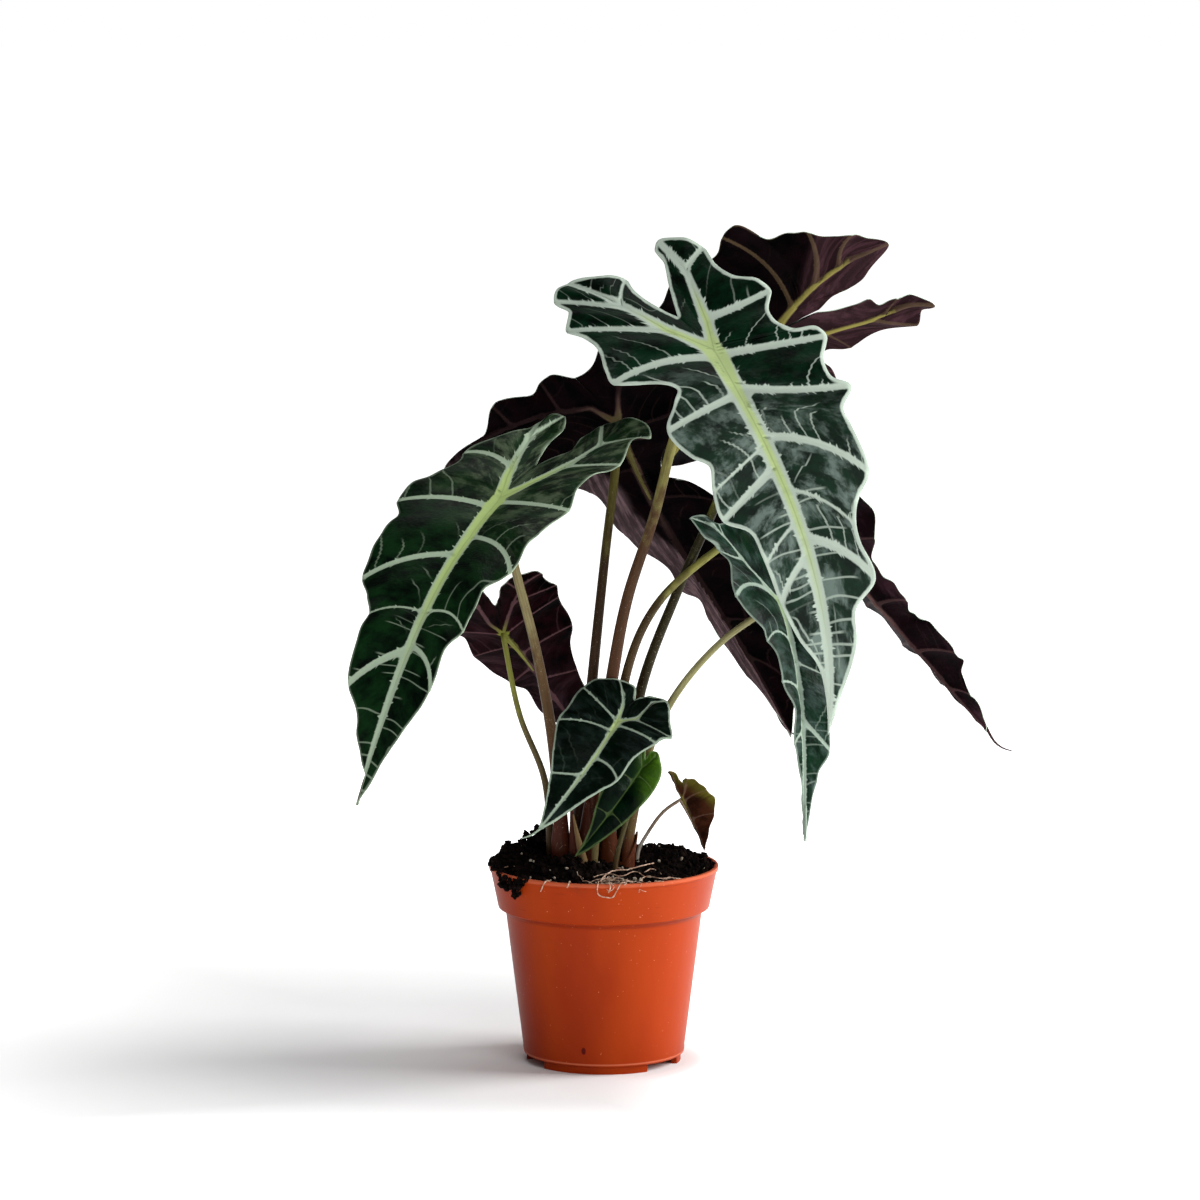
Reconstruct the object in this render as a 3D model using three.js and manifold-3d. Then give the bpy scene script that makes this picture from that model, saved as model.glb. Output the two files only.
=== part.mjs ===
// A potted alocasia polly: ten arrow-shaped leaves on petioles, soil, and a plain plastic nursery pot.
// Millimetres, +Z up. The origin is the middle of the pot's underside, on the surface it stands on.
import * as THREE from "three";
import { mergeVertices } from "three/addons/utils/BufferGeometryUtils.js";
import Module from "manifold-3d";

const wasm = await Module();
wasm.setup();

// Pot
const potHeight = 103.5;
const rimRadius = 60;
const collarHeight = 22;
const collarFootRadius = 55.2;
const bodyTopRadius = 51.2;
const bodyTopHeight = 77;
const bodyBottomRadius = 42;
const wall = 1.4;
const footHeight = 4;
const footRadius = 40.4;
const footWidth = 3;
const notchCentres = [52, 172, 292];
const notchHalfAngle = 18;
const padRadius = 9;
const floorThickness = 2;
const drainHoles = 6;
const drainRadius = 4;
const drainCircle = 26;
const potSegments = 60;

// Soil
const gap = 0.3;
const soilBase = footHeight + floorThickness + gap;
const soilEdgeHeight = 100;
const soilSegments = 48;
const soilRings = 9;
const clods = [
  { at: [-30, 22], height: 9, reach: 20 },
  { at: [4, 18], height: 8, reach: 24 },
  { at: [30, 16], height: 4, reach: 18 },
  { at: [-38, -12], height: 6, reach: 15 },
  { at: [-8, -30], height: 3, reach: 16 },
  { at: [27, -24], height: 2, reach: 12 },
];

// Leaves
const bladeThickness = 1;
const petioleSides = 8;
const rootedTo = 84;
const rows = 3;
const mergeStations = 3;

const green = { color: 0x1c3a2a, roughness: 0.4, metalness: 0 };
const burgundy = { color: 0x35161f, roughness: 0.45, metalness: 0 };

// Each leaf has a flat pattern and a pose. In the pattern the petiole joins at 0, 0, the tip is at 0, length,
// and x runs across. A margin goes from the tip, round the lobe, to the notch between the lobes. Its third
// number says that a vein ends there, and how far from the junction the vein leaves the midrib, or the
// lobe's own rib where the number is negative.
// In the pose, midrib is four evenly spaced points from the junction to the tip, and up is the direction
// that the upper side faces at the junction and at the tip.
const leaves = [
  {
    name: "front_tall",
    skin: green,
    length: 214,
    midrib: [[56, -42, 376], [83, -78, 327], [106, -101, 264], [112, -112, 189]],
    up: [[-0.25, -0.78, 0.55], [0, -0.97, 0.1]],
    fold: 12,
    curl: 0.0022,
    droop: 0.0008,
    wave: 3,
    ribs: { right: [[4, -17], [6, -36], [8, -55]], left: [[-7, -10], [-17, -25], [-26, -43], [-34, -58]] },
    right: [
      [5, 198], [15, 174], [17, 159], [30, 147, 120], [27, 128], [29, 118], [34, 110], [43, 101, 62],
      [44, 78], [44, 69], [53, 59, 29], [46, 51], [47, 40], [54, 29, 4], [52, 22], [40, 16], [35, 7],
      [35, -4], [41, -14, -19], [38, -23], [27, -34], [23, -47], [22, -63, -56], [15, -74], [3, -85, -56],
      [-1, -80], [0, -70], [-4, -52], [-8, -30],
    ],
    left: [
      [-5, 184], [-14, 169], [-20, 150, 129], [-23, 123], [-25, 109], [-36, 97, 79], [-35, 80], [-31, 66],
      [-37, 57], [-42, 35, 32], [-32, 22], [-27, 16], [-37, 4], [-55, -9, 6], [-55, -18], [-53, -30],
      [-56, -43], [-63, -56, -25], [-57, -63], [-61, -78, -56], [-50, -85, -67], [-32, -76],
      [-22, -69, -60], [-21, -59], [-15, -42], [-8, -30],
    ],
    petiole: {
      foot: [-9, -3],
      route: [[4, -6, 201], [12, -10, 244], [26, -19, 289], [38, -30, 336]],
      width: [9, 5],
    },
  },
  {
    name: "front_left",
    skin: green,
    length: 182,
    midrib: [[-53, -38, 300], [-78, -68, 268], [-100, -88, 224], [-125, -97, 151]],
    up: [[-0.25, -0.62, 0.72], [-0.45, -0.85, 0.25]],
    fold: 14,
    curl: 0.0022,
    droop: 0.0008,
    wave: 3,
    ribs: { right: [[8, -8], [17, -19], [27, -34], [33, -49]], left: [[-5, -15], [-8, -30], [-10, -44]] },
    right: [
      [5, 173], [10, 161], [18, 146], [23, 132, 114], [24, 113], [28, 99, 95], [30, 85], [31, 70],
      [38, 57, 36], [39, 39], [41, 24], [45, 0, 5], [42, -15], [46, -27], [52, -39, -35], [49, -56],
      [54, -65, -60], [47, -72], [33, -72], [22, -66, -60], [17, -55], [17, -43], [4, -29],
    ],
    left: [
      [0, 173], [-6, 166], [-12, 158], [-15, 151], [-25, 141, 116], [-28, 118], [-29, 105, 94], [-32, 97],
      [-41, 87, 51], [-43, 70], [-43, 53], [-42, 38], [-49, 27, 8], [-47, 12], [-38, 2], [-33, -14],
      [-36, -20, -21], [-27, -33], [-16, -47], [-13, -59, -45], [-5, -69, -45], [0, -60], [0, -42],
      [4, -29],
    ],
    petiole: { foot: [-22, -4], route: [[-26, -6, 165], [-35, -14, 218], [-46, -26, 264]], width: [8, 4.6] },
  },
  {
    name: "back_top",
    skin: burgundy,
    length: 170,
    midrib: [[87, 24, 379], [68, 54, 356], [51, 106, 328], [33, 160, 296]],
    up: [[0, 0.75, 0.65], [0.1, 0.6, 0.75]],
    fold: 10,
    curl: 0.0015,
    droop: 0.0004,
    wave: 3,
    ribs: { right: [[4, -23], [5, -39], [3, -62]], left: [[-10, -8], [-24, -17], [-36, -35], [-43, -50]] },
    right: [
      [9, 160], [25, 141, 128], [33, 117], [42, 88, 75], [46, 65], [56, 40, 31], [57, 22], [64, 0, 8],
      [55, -16], [63, -30, -19], [63, -39], [42, -43], [37, -54], [31, -61, -38], [20, -64],
      [14, -75, -56], [5, -78], [-4, -84, -62], [-10, -64], [-12, -52], [-8, -41], [-8, -28],
    ],
    left: [
      [-9, 162], [-25, 150, 128], [-31, 135], [-38, 118, 85], [-40, 104], [-48, 90, 46], [-47, 70],
      [-55, 44, 8], [-45, 15], [-34, -6], [-42, -18, -28], [-48, -34], [-59, -51, -55], [-56, -58],
      [-57, -66, -68], [-45, -63], [-37, -58, -60], [-33, -49], [-25, -48], [-21, -39], [-9, -26],
    ],
    petiole: {
      foot: [8, 8],
      route: [[19, 7, 193], [39, 6, 248], [57, 0, 290], [69, -7, 322], [80, 6, 353]],
      width: [7, 4.4],
    },
  },
  {
    name: "back_middle",
    skin: burgundy,
    length: 208,
    midrib: [[7, 18, 334], [32, 44, 278], [66, 64, 222], [101, 76, 159]],
    up: [[-0.15, 0.93, 0.33], [0.35, 0.88, 0.2]],
    fold: 8,
    curl: 0.0025,
    droop: 0.0008,
    wave: 3,
    ribs: { right: [[11, -13], [35, -17], [60, -18]], left: [[-4, -15], [-12, -34], [-21, -46]] },
    right: [
      [2, 188], [6, 170, 160], [9, 154], [8, 133, 118], [7, 122], [12, 110, 96], [12, 96], [19, 81],
      [22, 67, 68], [25, 58], [24, 46], [28, 34, 30], [43, 26], [60, 23, 5], [67, 12], [81, 9, -33],
      [87, 0], [94, -12, -66], [80, -17], [70, -17], [66, -22], [60, -34, -60], [53, -34], [39, -30],
      [32, -37, -33], [26, -39], [14, -33],
    ],
    left: [
      [-8, 196], [-15, 185, 160], [-19, 171], [-24, 155, 136], [-27, 131], [-33, 114, 98], [-31, 93],
      [-32, 72, 52], [-22, 53], [-12, 45], [-15, 32], [-26, 22], [-40, 4, 2], [-41, -9],
      [-43, -26, -30], [-38, -42], [-28, -59, -51], [-14, -55], [-3, -47, -36], [5, -36], [14, -33],
    ],
    petiole: { foot: [-14, 6], route: [[-6, 5, 200], [1, 8, 268], [6, 13, 310]], width: [8, 4.6] },
  },
  {
    name: "back_right",
    skin: burgundy,
    length: 179,
    midrib: [[99, 10, 291], [136, 34, 246], [173.2, 52, 201.8], [205, 62, 165]],
    up: [[0.45, 0.45, 0.75], [0.6, 0.4, 0.7]],
    fold: 18,
    curl: 0.001,
    droop: 0.0008,
    wave: 2.5,
    ribs: { right: [[10, -20], [22, -42]], left: [[-12, -22], [-24, -41]] },
    right: [
      [3, 168], [8, 153], [12, 138, 130], [16, 122], [22, 110, 104], [24, 96], [22, 80, 72], [26, 64],
      [36, 50, 36], [35, 33], [43, 12, 6], [38, -4], [44, -20, -22], [42, -38], [36, -54, -46],
      [24, -54], [12, -40], [0, -26],
    ],
    left: [
      [-7, 166], [-11, 148, 140], [-13, 133], [-21, 124], [-23, 116, 108], [-22, 97], [-16, 90],
      [-15, 84], [-20, 75, 72], [-19, 65], [-15, 57], [-19, 45], [-32, 32, 34], [-40, 17],
      [-42, -6, 2], [-44, -24], [-48, -36, -28], [-46, -50], [-38, -60, -46], [-26, -56], [-10, -40],
      [0, -26],
    ],
    petiole: {
      foot: [3, -1],
      route: [[12, -1, 205], [28, -2, 241], [59, 1, 269], [84, 5, 284]],
      width: [7, 4],
    },
  },
  {
    name: "right_low",
    skin: green,
    length: 125,
    midrib: [[89, -48, 248], [98, -66, 211], [101, -76, 172], [102, -82, 130]],
    up: [[0.55, -0.45, 0.6], [0.6, -0.7, 0.1]],
    fold: 20,
    curl: 0.002,
    droop: 0.0008,
    wave: 2,
    ribs: { right: [[10, -18], [25, -32]], left: [[-22, -13], [-35, -27], [-45, -34]] },
    right: [
      [6, 102], [9, 92], [16, 80, 64], [16, 60], [23, 44, 33], [25, 28], [33, 15, 6], [34, 0],
      [40, -14, -24], [40, -28], [38, -42, -41], [26, -45], [16, -42], [8, -36],
    ],
    left: [
      [-1, 104], [-3, 92], [-8, 77, 70], [-9, 59], [-16, 45, 48], [-19, 36], [-24, 25, 21], [-32, 19],
      [-46, 6, 0], [-44, -11], [-47, -21, -33], [-58, -25], [-61, -37, -57], [-50, -39], [-36, -38, -49],
      [-20, -44], [-4, -45], [8, -36],
    ],
    petiole: { foot: [12, -3], route: [[24, -2, 165], [37, -11, 194], [60, -28, 224]], width: [6, 3.4] },
  },
  {
    name: "back_left_low",
    skin: burgundy,
    length: 93,
    midrib: [[-53, 14, 224], [-38, 34, 203], [-22, 50, 179], [-5, 60, 161]],
    up: [[-0.1, 0.75, 0.65], [0.1, 0.8, 0.5]],
    fold: 8,
    curl: 0.002,
    droop: 0.001,
    wave: 2,
    ribs: { right: [[1, -12], [-2, -30], [-5, -45]], left: [[-9, -10], [-19, -20], [-28, -28]] },
    right: [
      [5, 82], [9, 69], [12, 60, 53], [12, 46], [16, 37, 32], [22, 26], [23, 10, 14], [20, -6],
      [22, -19, 3], [17, -33], [8, -47, -30], [0, -57], [-9, -61, -45], [-12, -48], [-10, -33], [-9, -24],
    ],
    left: [
      [-8, 82], [-14, 70, 66], [-17, 56], [-20, 44, 40], [-24, 30], [-33, 16, 19], [-35, 3], [-38, -6, 3],
      [-42, -16, -24], [-39, -23], [-42, -32, -38], [-34, -35], [-24, -38, -36], [-18, -34], [-13, -27],
      [-9, -24],
    ],
    petiole: { foot: [-28, 5], route: [[-31, 7, 147], [-44, 9, 181]], width: [5, 2.8] },
  },
  {
    name: "front_small",
    skin: green,
    length: 72,
    midrib: [[7, -30, 183], [-5, -42, 166], [-19, -48, 148], [-34, -48, 129]],
    up: [[-0.1, -0.8, 0.6], [-0.1, -0.95, 0.3]],
    fold: 10,
    curl: 0.003,
    droop: 0.003,
    wave: 1.2,
    ribs: { right: [[9, -5], [12, -18]], left: [[-2, -11], [-5, -17]] },
    right: [
      [4, 62], [11, 42], [15, 34], [18, 28, 23], [19, 16], [25, 4, 2], [31, -1, -9], [27, -8],
      [18, -22, -22], [9, -22], [5, -20], [2, -17],
    ],
    left: [
      [-3, 65], [-7, 57], [-14, 44, 34], [-20, 33], [-28, 15, 7], [-27, 4], [-26, -12, 0], [-20, -20],
      [-11, -25, -18], [-2, -25], [2, -17],
    ],
    petiole: { foot: [-5, -12], route: [[-1, -9, 142], [3, -13, 166]], width: [4.4, 2.8] },
  },
  {
    name: "young_green",
    skin: { color: 0x4a7a1e, roughness: 0.45, metalness: 0 },
    length: 64,
    midrib: [[19.5, -16, 156.5], [8.5, -26, 142], [-3, -32, 128], [-15, -33, 113]],
    up: [[0.2, -0.8, 0.55], [0.2, -0.9, 0.4]],
    fold: 12,
    curl: 0.003,
    droop: 0.003,
    wave: 1,
    ribs: { right: [[2, -5], [3, -10]], left: [[-3, -5], [-6, -10]] },
    right: [
      [3, 57], [6, 46], [9, 33, 30], [11, 20], [12, 8, 5], [11, -1], [7, -8], [2, -13, -10], [-1, -11],
      [-1, -6],
    ],
    left: [
      [-1, 56], [-4, 44], [-8, 34, 34], [-11, 22], [-13, 10, 8], [-13, 0], [-12, -8], [-8, -13, -11],
      [-4, -11], [-1, -6],
    ],
    petiole: { foot: [6, -14], route: [[13, -14, 133]], width: [3.6, 2.2] },
  },
  {
    name: "young_red",
    skin: { color: 0x5a3326, roughness: 0.5, metalness: 0 },
    length: 35,
    midrib: [[41, -2, 139], [46, 4, 128], [50, 8, 118], [53, 8, 109]],
    up: [[0.7, 0.65, 0.3], [0.7, 0.65, 0.2]],
    fold: 30,
    curl: 0,
    droop: 0.002,
    wave: 0.8,
    ribs: { right: [[0, -7], [-1, -14]], left: [[-3, -4], [-5, -8]] },
    right: [
      [2, 31], [6, 22], [9, 14, 14], [9, 6], [8, -2, 2], [6, -10], [-2, -20, -14], [-4, -15], [-4, -9],
    ],
    left: [
      [-2, 31], [-7, 21], [-13, 12, 14], [-16, 4], [-15, -2, 2], [-12, -8], [-9, -12, -9], [-6, -12],
      [-4, -9],
    ],
    petiole: { foot: [18, 3], route: [[22, 2, 118], [31, 0, 131]], width: [2.4, 1.8] },
  },
];

const radians = THREE.MathUtils.degToRad;
const vector = (values) => new THREE.Vector3(...values);
const steps = (count) => Array.from({ length: count }, (_, i) => i);

// A solid for joining and cutting, and back to a geometry.
function solid(geometry) {
  const plain = geometry.clone();
  plain.deleteAttribute("normal");
  plain.deleteAttribute("uv");
  const merged = mergeVertices(plain, 1e-4);
  return new wasm.Manifold(
    new wasm.Mesh({
      numProp: 3,
      vertProperties: merged.attributes.position.array,
      triVerts: new Uint32Array(merged.index.array),
    }),
  );
}

function geometryOf(body) {
  const mesh = body.getMesh();
  const geometry = new THREE.BufferGeometry();
  geometry.setAttribute("position", new THREE.BufferAttribute(mesh.vertProperties, 3));
  geometry.setIndex(new THREE.BufferAttribute(mesh.triVerts, 1));
  return geometry;
}

function mesh(name, geometry, finish) {
  const piece = new THREE.Mesh(geometry, new THREE.MeshStandardMaterial(finish));
  piece.name = name;
  return piece;
}

// A closed solid turned about +Z from [radius, height] pairs that start and end on the axis.
function turned(profile, segments) {
  const geometry = new THREE.LatheGeometry(profile.map(([r, z]) => new THREE.Vector2(r, z)), segments);
  return geometry.rotateX(Math.PI / 2);
}

// Pot
const slope = (bodyTopRadius - bodyBottomRadius) / (bodyTopHeight - footHeight);
const collarFoot = potHeight - collarHeight;
const outside = [
  [0, footHeight],
  [bodyBottomRadius, footHeight],
  [bodyTopRadius, bodyTopHeight],
  [collarFootRadius, collarFoot],
  [rimRadius - 0.9, potHeight - 3],
  [rimRadius, potHeight - 2.4],
  [rimRadius, potHeight - 0.5],
  [rimRadius - 0.5, potHeight],
  [0, potHeight],
];
const innerFloor = footHeight + floorThickness;
const hollow = [
  [0, innerFloor],
  [bodyBottomRadius + slope * floorThickness - wall, innerFloor],
  [bodyTopRadius - wall, bodyTopHeight],
  [collarFootRadius - wall, collarFoot],
  [rimRadius - wall - 0.9, potHeight],
  [rimRadius - wall - 0.9, potHeight + 5],
  [0, potHeight + 5],
];

function innerRadius(height) {
  for (let i = 2; i < hollow.length; i++) {
    const [r0, z0] = hollow[i - 1];
    const [r1, z1] = hollow[i];
    if (height <= z1) return r0 + ((height - z0) / (z1 - z0)) * (r1 - r0);
  }
  return rimRadius - wall;
}

function upright(radius, low, high, x, y, sides) {
  const post = new THREE.CylinderGeometry(radius, radius, high - low, sides);
  return post.rotateX(Math.PI / 2).translate(x, y, (low + high) / 2);
}

// The ring of feet is cut by three wedges that leave notches between the feet.
function footRing() {
  const ring = turned(
    [
      [footRadius - footWidth, 0],
      [footRadius, 0],
      [footRadius, footHeight + 1],
      [footRadius - footWidth, footHeight + 1],
      [footRadius - footWidth, 0],
    ],
    potSegments,
  );
  let body = solid(ring);
  for (const centre of notchCentres) {
    const wedge = new THREE.Shape([
      new THREE.Vector2(0, 0),
      new THREE.Vector2(60, -60 * Math.tan(radians(notchHalfAngle))),
      new THREE.Vector2(60, 60 * Math.tan(radians(notchHalfAngle))),
    ]);
    const cut = new THREE.ExtrudeGeometry(wedge, { depth: footHeight + 1, bevelEnabled: false });
    cut.translate(0, 0, -1).rotateZ(radians(centre - 90));
    body = body.subtract(solid(cut));
  }
  return body;
}

function pot() {
  let body = solid(turned(outside, potSegments)).subtract(solid(turned(hollow, potSegments)));
  body = body.add(footRing());
  body = body.add(solid(upright(padRadius, 0, footHeight + 1, 0, 0, 24)));
  for (const i of steps(drainHoles)) {
    const angle = (i / drainHoles) * 2 * Math.PI;
    const [x, y] = [drainCircle * Math.cos(angle), drainCircle * Math.sin(angle)];
    body = body.subtract(solid(upright(drainRadius, 0, innerFloor + 5, x, y, 12)));
  }
  return geometryOf(body);
}

// Soil: it fills the pot up to a lumpy top, with a plain upright hole for each petiole.
function soilTop(x, y) {
  const lumps = 0.7 * Math.sin(x * 0.31 + y * 0.17) * Math.cos(y * 0.29 - x * 0.11);
  const heap = clods.reduce((sum, { at, height, reach }) => {
    const d = Math.hypot(x - at[0], y - at[1]) / reach;
    return sum + height * Math.exp(-d * d);
  }, 0);
  const edge = Math.min(1, (innerRadius(soilEdgeHeight) - Math.hypot(x, y)) / 9);
  return soilEdgeHeight + heap * (0.35 + 0.65 * edge) + lumps;
}

function soil(holes) {
  const side = [soilBase, bodyTopHeight, collarFoot];
  const levels = side.map((z) => [innerRadius(z) - 1.5 * gap, z]);
  const topRadius = innerRadius(soilEdgeHeight - 1.5) - 1.5 * gap;
  const positions = [0, 0, soilBase];
  const ringStart = [];
  const addRing = (radius, heightAt) => {
    ringStart.push(positions.length / 3);
    for (const i of steps(soilSegments)) {
      const a = (i / soilSegments) * 2 * Math.PI;
      const [x, y] = [radius * Math.cos(a), radius * Math.sin(a)];
      positions.push(x, y, heightAt(x, y));
    }
  };
  levels.forEach(([radius, z]) => addRing(radius, () => z));
  for (const i of steps(soilRings)) addRing(topRadius * (1 - i / soilRings), soilTop);
  const summit = positions.length / 3;
  positions.push(0, 0, soilTop(0, 0));
  const index = [];
  for (const i of steps(soilSegments)) {
    const next = (i + 1) % soilSegments;
    index.push(0, ringStart[0] + next, ringStart[0] + i);
    for (let r = 1; r < ringStart.length; r++) {
      const [low, high] = [ringStart[r - 1], ringStart[r]];
      index.push(low + i, low + next, high + next, low + i, high + next, high + i);
    }
    const last = ringStart.at(-1);
    index.push(last + i, last + next, summit);
  }
  const geometry = new THREE.BufferGeometry();
  geometry.setAttribute("position", new THREE.Float32BufferAttribute(positions, 3));
  geometry.setIndex(index);
  return geometryOf(holes.reduce((body, hole) => body.subtract(solid(hole)), solid(geometry)));
}

// The midrib is the cubic through its four evenly spaced points. t is 0 at the junction and 1 at the tip.
function cubicThrough(points, t) {
  const weights = [
    -4.5 * (t - 1 / 3) * (t - 2 / 3) * (t - 1),
    13.5 * t * (t - 2 / 3) * (t - 1),
    -13.5 * t * (t - 1 / 3) * (t - 1),
    4.5 * t * (t - 1 / 3) * (t - 2 / 3),
  ];
  return points.reduce((sum, p, i) => sum.addScaledVector(vector(p), weights[i]), new THREE.Vector3());
}

// The midrib's point, direction, upper normal and crosswise direction at t.
function frameAt(leaf, t) {
  const along = cubicThrough(leaf.midrib, t + 1e-4).sub(cubicThrough(leaf.midrib, t - 1e-4)).normalize();
  const up = vector(leaf.up[0]).normalize().lerp(vector(leaf.up[1]).normalize(), Math.min(t, 1));
  up.addScaledVector(along, -up.dot(along)).normalize();
  const across = new THREE.Vector3().crossVectors(up, along);
  return { origin: cubicThrough(leaf.midrib, t), along, up, across };
}

// A point of the flat pattern in space. Behind the junction the lobes follow the midrib's first direction.
function inSpace(leaf, x, y, lift) {
  const { origin, along, up, across } = frameAt(leaf, Math.max(y, 0) / leaf.length);
  const back = Math.min(y, 0);
  const fold = radians(leaf.fold);
  const rise = Math.abs(x) * Math.sin(fold) - leaf.curl * x * x - leaf.droop * back * back + lift;
  origin.addScaledVector(along, back).addScaledVector(across, x * Math.cos(fold));
  return origin.addScaledVector(up, rise);
}

// The spine that the blade hangs from: down the midrib, out along the lobe's rib, and back to the junction.
// Its station is 0 at the tip, length at the junction, and grows by the rib's length each way.
function spine(leaf, side) {
  const rib = [[0, 0], ...leaf.ribs[side]];
  const reach = [0];
  for (let i = 1; i < rib.length; i++) {
    reach.push(reach[i - 1] + Math.hypot(rib[i][0] - rib[i - 1][0], rib[i][1] - rib[i - 1][1]));
  }
  const end = reach.at(-1);
  const onRib = (d) => {
    let i = 1;
    while (i < rib.length - 1 && reach[i] < d) i++;
    const k = Math.min(1, (d - reach[i - 1]) / (reach[i] - reach[i - 1]));
    return [0, 1].map((axis) => rib[i - 1][axis] + k * (rib[i][axis] - rib[i - 1][axis]));
  };
  const at = (station) => {
    const past = station - leaf.length;
    if (past <= 0) return [0, -past];
    return onRib(Math.max(0, past <= end ? past : 2 * end - past));
  };
  return { end, at };
}

// The margin's knots with the station of the spine that each is joined to.
function marginKnots(leaf, side) {
  const { end } = spine(leaf, side);
  const points = [[0, leaf.length, leaf.length], ...leaf[side]];
  points[points.length - 1] = [...points.at(-1).slice(0, 2), 0];
  const deepest = Math.min(...points.map((p) => p[2] ?? 0));
  const lobeTip = points.findLastIndex((p) => p[2] === deepest);
  const knots = points.map(([x, y, start], i) => {
    let station;
    const reach = start === deepest ? -end : Math.max(start, -end);
    if (start !== undefined) station = i <= lobeTip ? leaf.length - reach : leaf.length + 2 * end + reach;
    return { x, y, station, vein: start !== undefined && i > 0 && i < points.length - 1 };
  });
  for (let i = 0; i < knots.length; ) {
    let j = i + 1;
    while (j < knots.length && knots[j].station === undefined) j++;
    if (j >= knots.length) break;
    const lengths = [0];
    for (let k = i + 1; k <= j; k++) {
      lengths.push(lengths.at(-1) + Math.hypot(knots[k].x - knots[k - 1].x, knots[k].y - knots[k - 1].y));
    }
    for (let k = i + 1; k < j; k++) {
      const share = lengths[k - i] / lengths.at(-1);
      knots[k].station = knots[i].station + share * (knots[j].station - knots[i].station);
    }
    i = j;
  }
  return knots;
}

// Values closer together than the tolerance become one, so that both sides of a rib share their stations.
function clustered(values, tolerance, fixed) {
  const sorted = [...values].sort((a, b) => a - b);
  const groups = [];
  for (const v of sorted) {
    const last = groups.at(-1);
    if (last && v - last[0] < tolerance) last.push(v);
    else groups.push([v]);
  }
  const centres = groups.map((g) => g.reduce((s, v) => s + v, 0) / g.length);
  return (value) => {
    const near = centres.reduce((best, c) => (Math.abs(c - value) < Math.abs(best - value) ? c : best));
    return fixed.reduce((best, f) => (Math.abs(f - near) < tolerance ? f : best), near);
  };
}

// Columns of a half blade, each from a place on the spine to a place on the margin.
function columns(leaf, side, midribStations) {
  const knots = marginKnots(leaf, side);
  const { end, at } = spine(leaf, side);
  const total = leaf.length + 2 * end;
  const outOf = (station) => (station > leaf.length + end ? total - station : station - leaf.length);
  const ribStations = knots.filter((k) => k.station > leaf.length).map((k) => outOf(k.station));
  const snapRib = clustered(ribStations, mergeStations, [0, end]);
  const snapped = knots.map((k) => {
    if (k.station <= leaf.length) return { ...k, station: midribStations.snap(k.station) };
    const d = snapRib(outOf(k.station));
    return { ...k, station: k.station > leaf.length + end ? total - d : leaf.length + d };
  });
  const ribSet = [...new Set([0, end, ...ribStations.map(snapRib)])];
  const onRibs = ribSet.flatMap((d) => [leaf.length + d, total - d]);
  const wanted = [...midribStations.all, ...onRibs];
  const result = snapped.map((k) => ({ ...k }));
  for (const station of new Set(wanted)) {
    if (snapped.some((k) => Math.abs(k.station - station) < 1e-6)) continue;
    const i = snapped.findIndex((k) => k.station > station);
    const [a, b] = [snapped[i - 1], snapped[i]];
    const share = (station - a.station) / (b.station - a.station);
    result.push({
      x: a.x + share * (b.x - a.x),
      y: a.y + share * (b.y - a.y),
      station,
      order: i - 1 + share,
    });
  }
  snapped.forEach((k, i) => (result[i].order = i));
  result.sort((a, b) => a.order - b.order);
  const veins = snapped.flatMap((k, i) => (k.vein ? [i] : []));
  for (const column of result) {
    const before = veins.findLast((v) => v <= column.order);
    const after = veins.find((v) => v > column.order);
    const between = before !== undefined && after !== undefined;
    const phase = between ? (column.order - before) / (after - before) : 0;
    column.lift = leaf.wave * (Math.sin(Math.PI * phase) ** 2 - 0.5);
    column.from = at(column.station);
  }
  return result;
}

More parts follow.
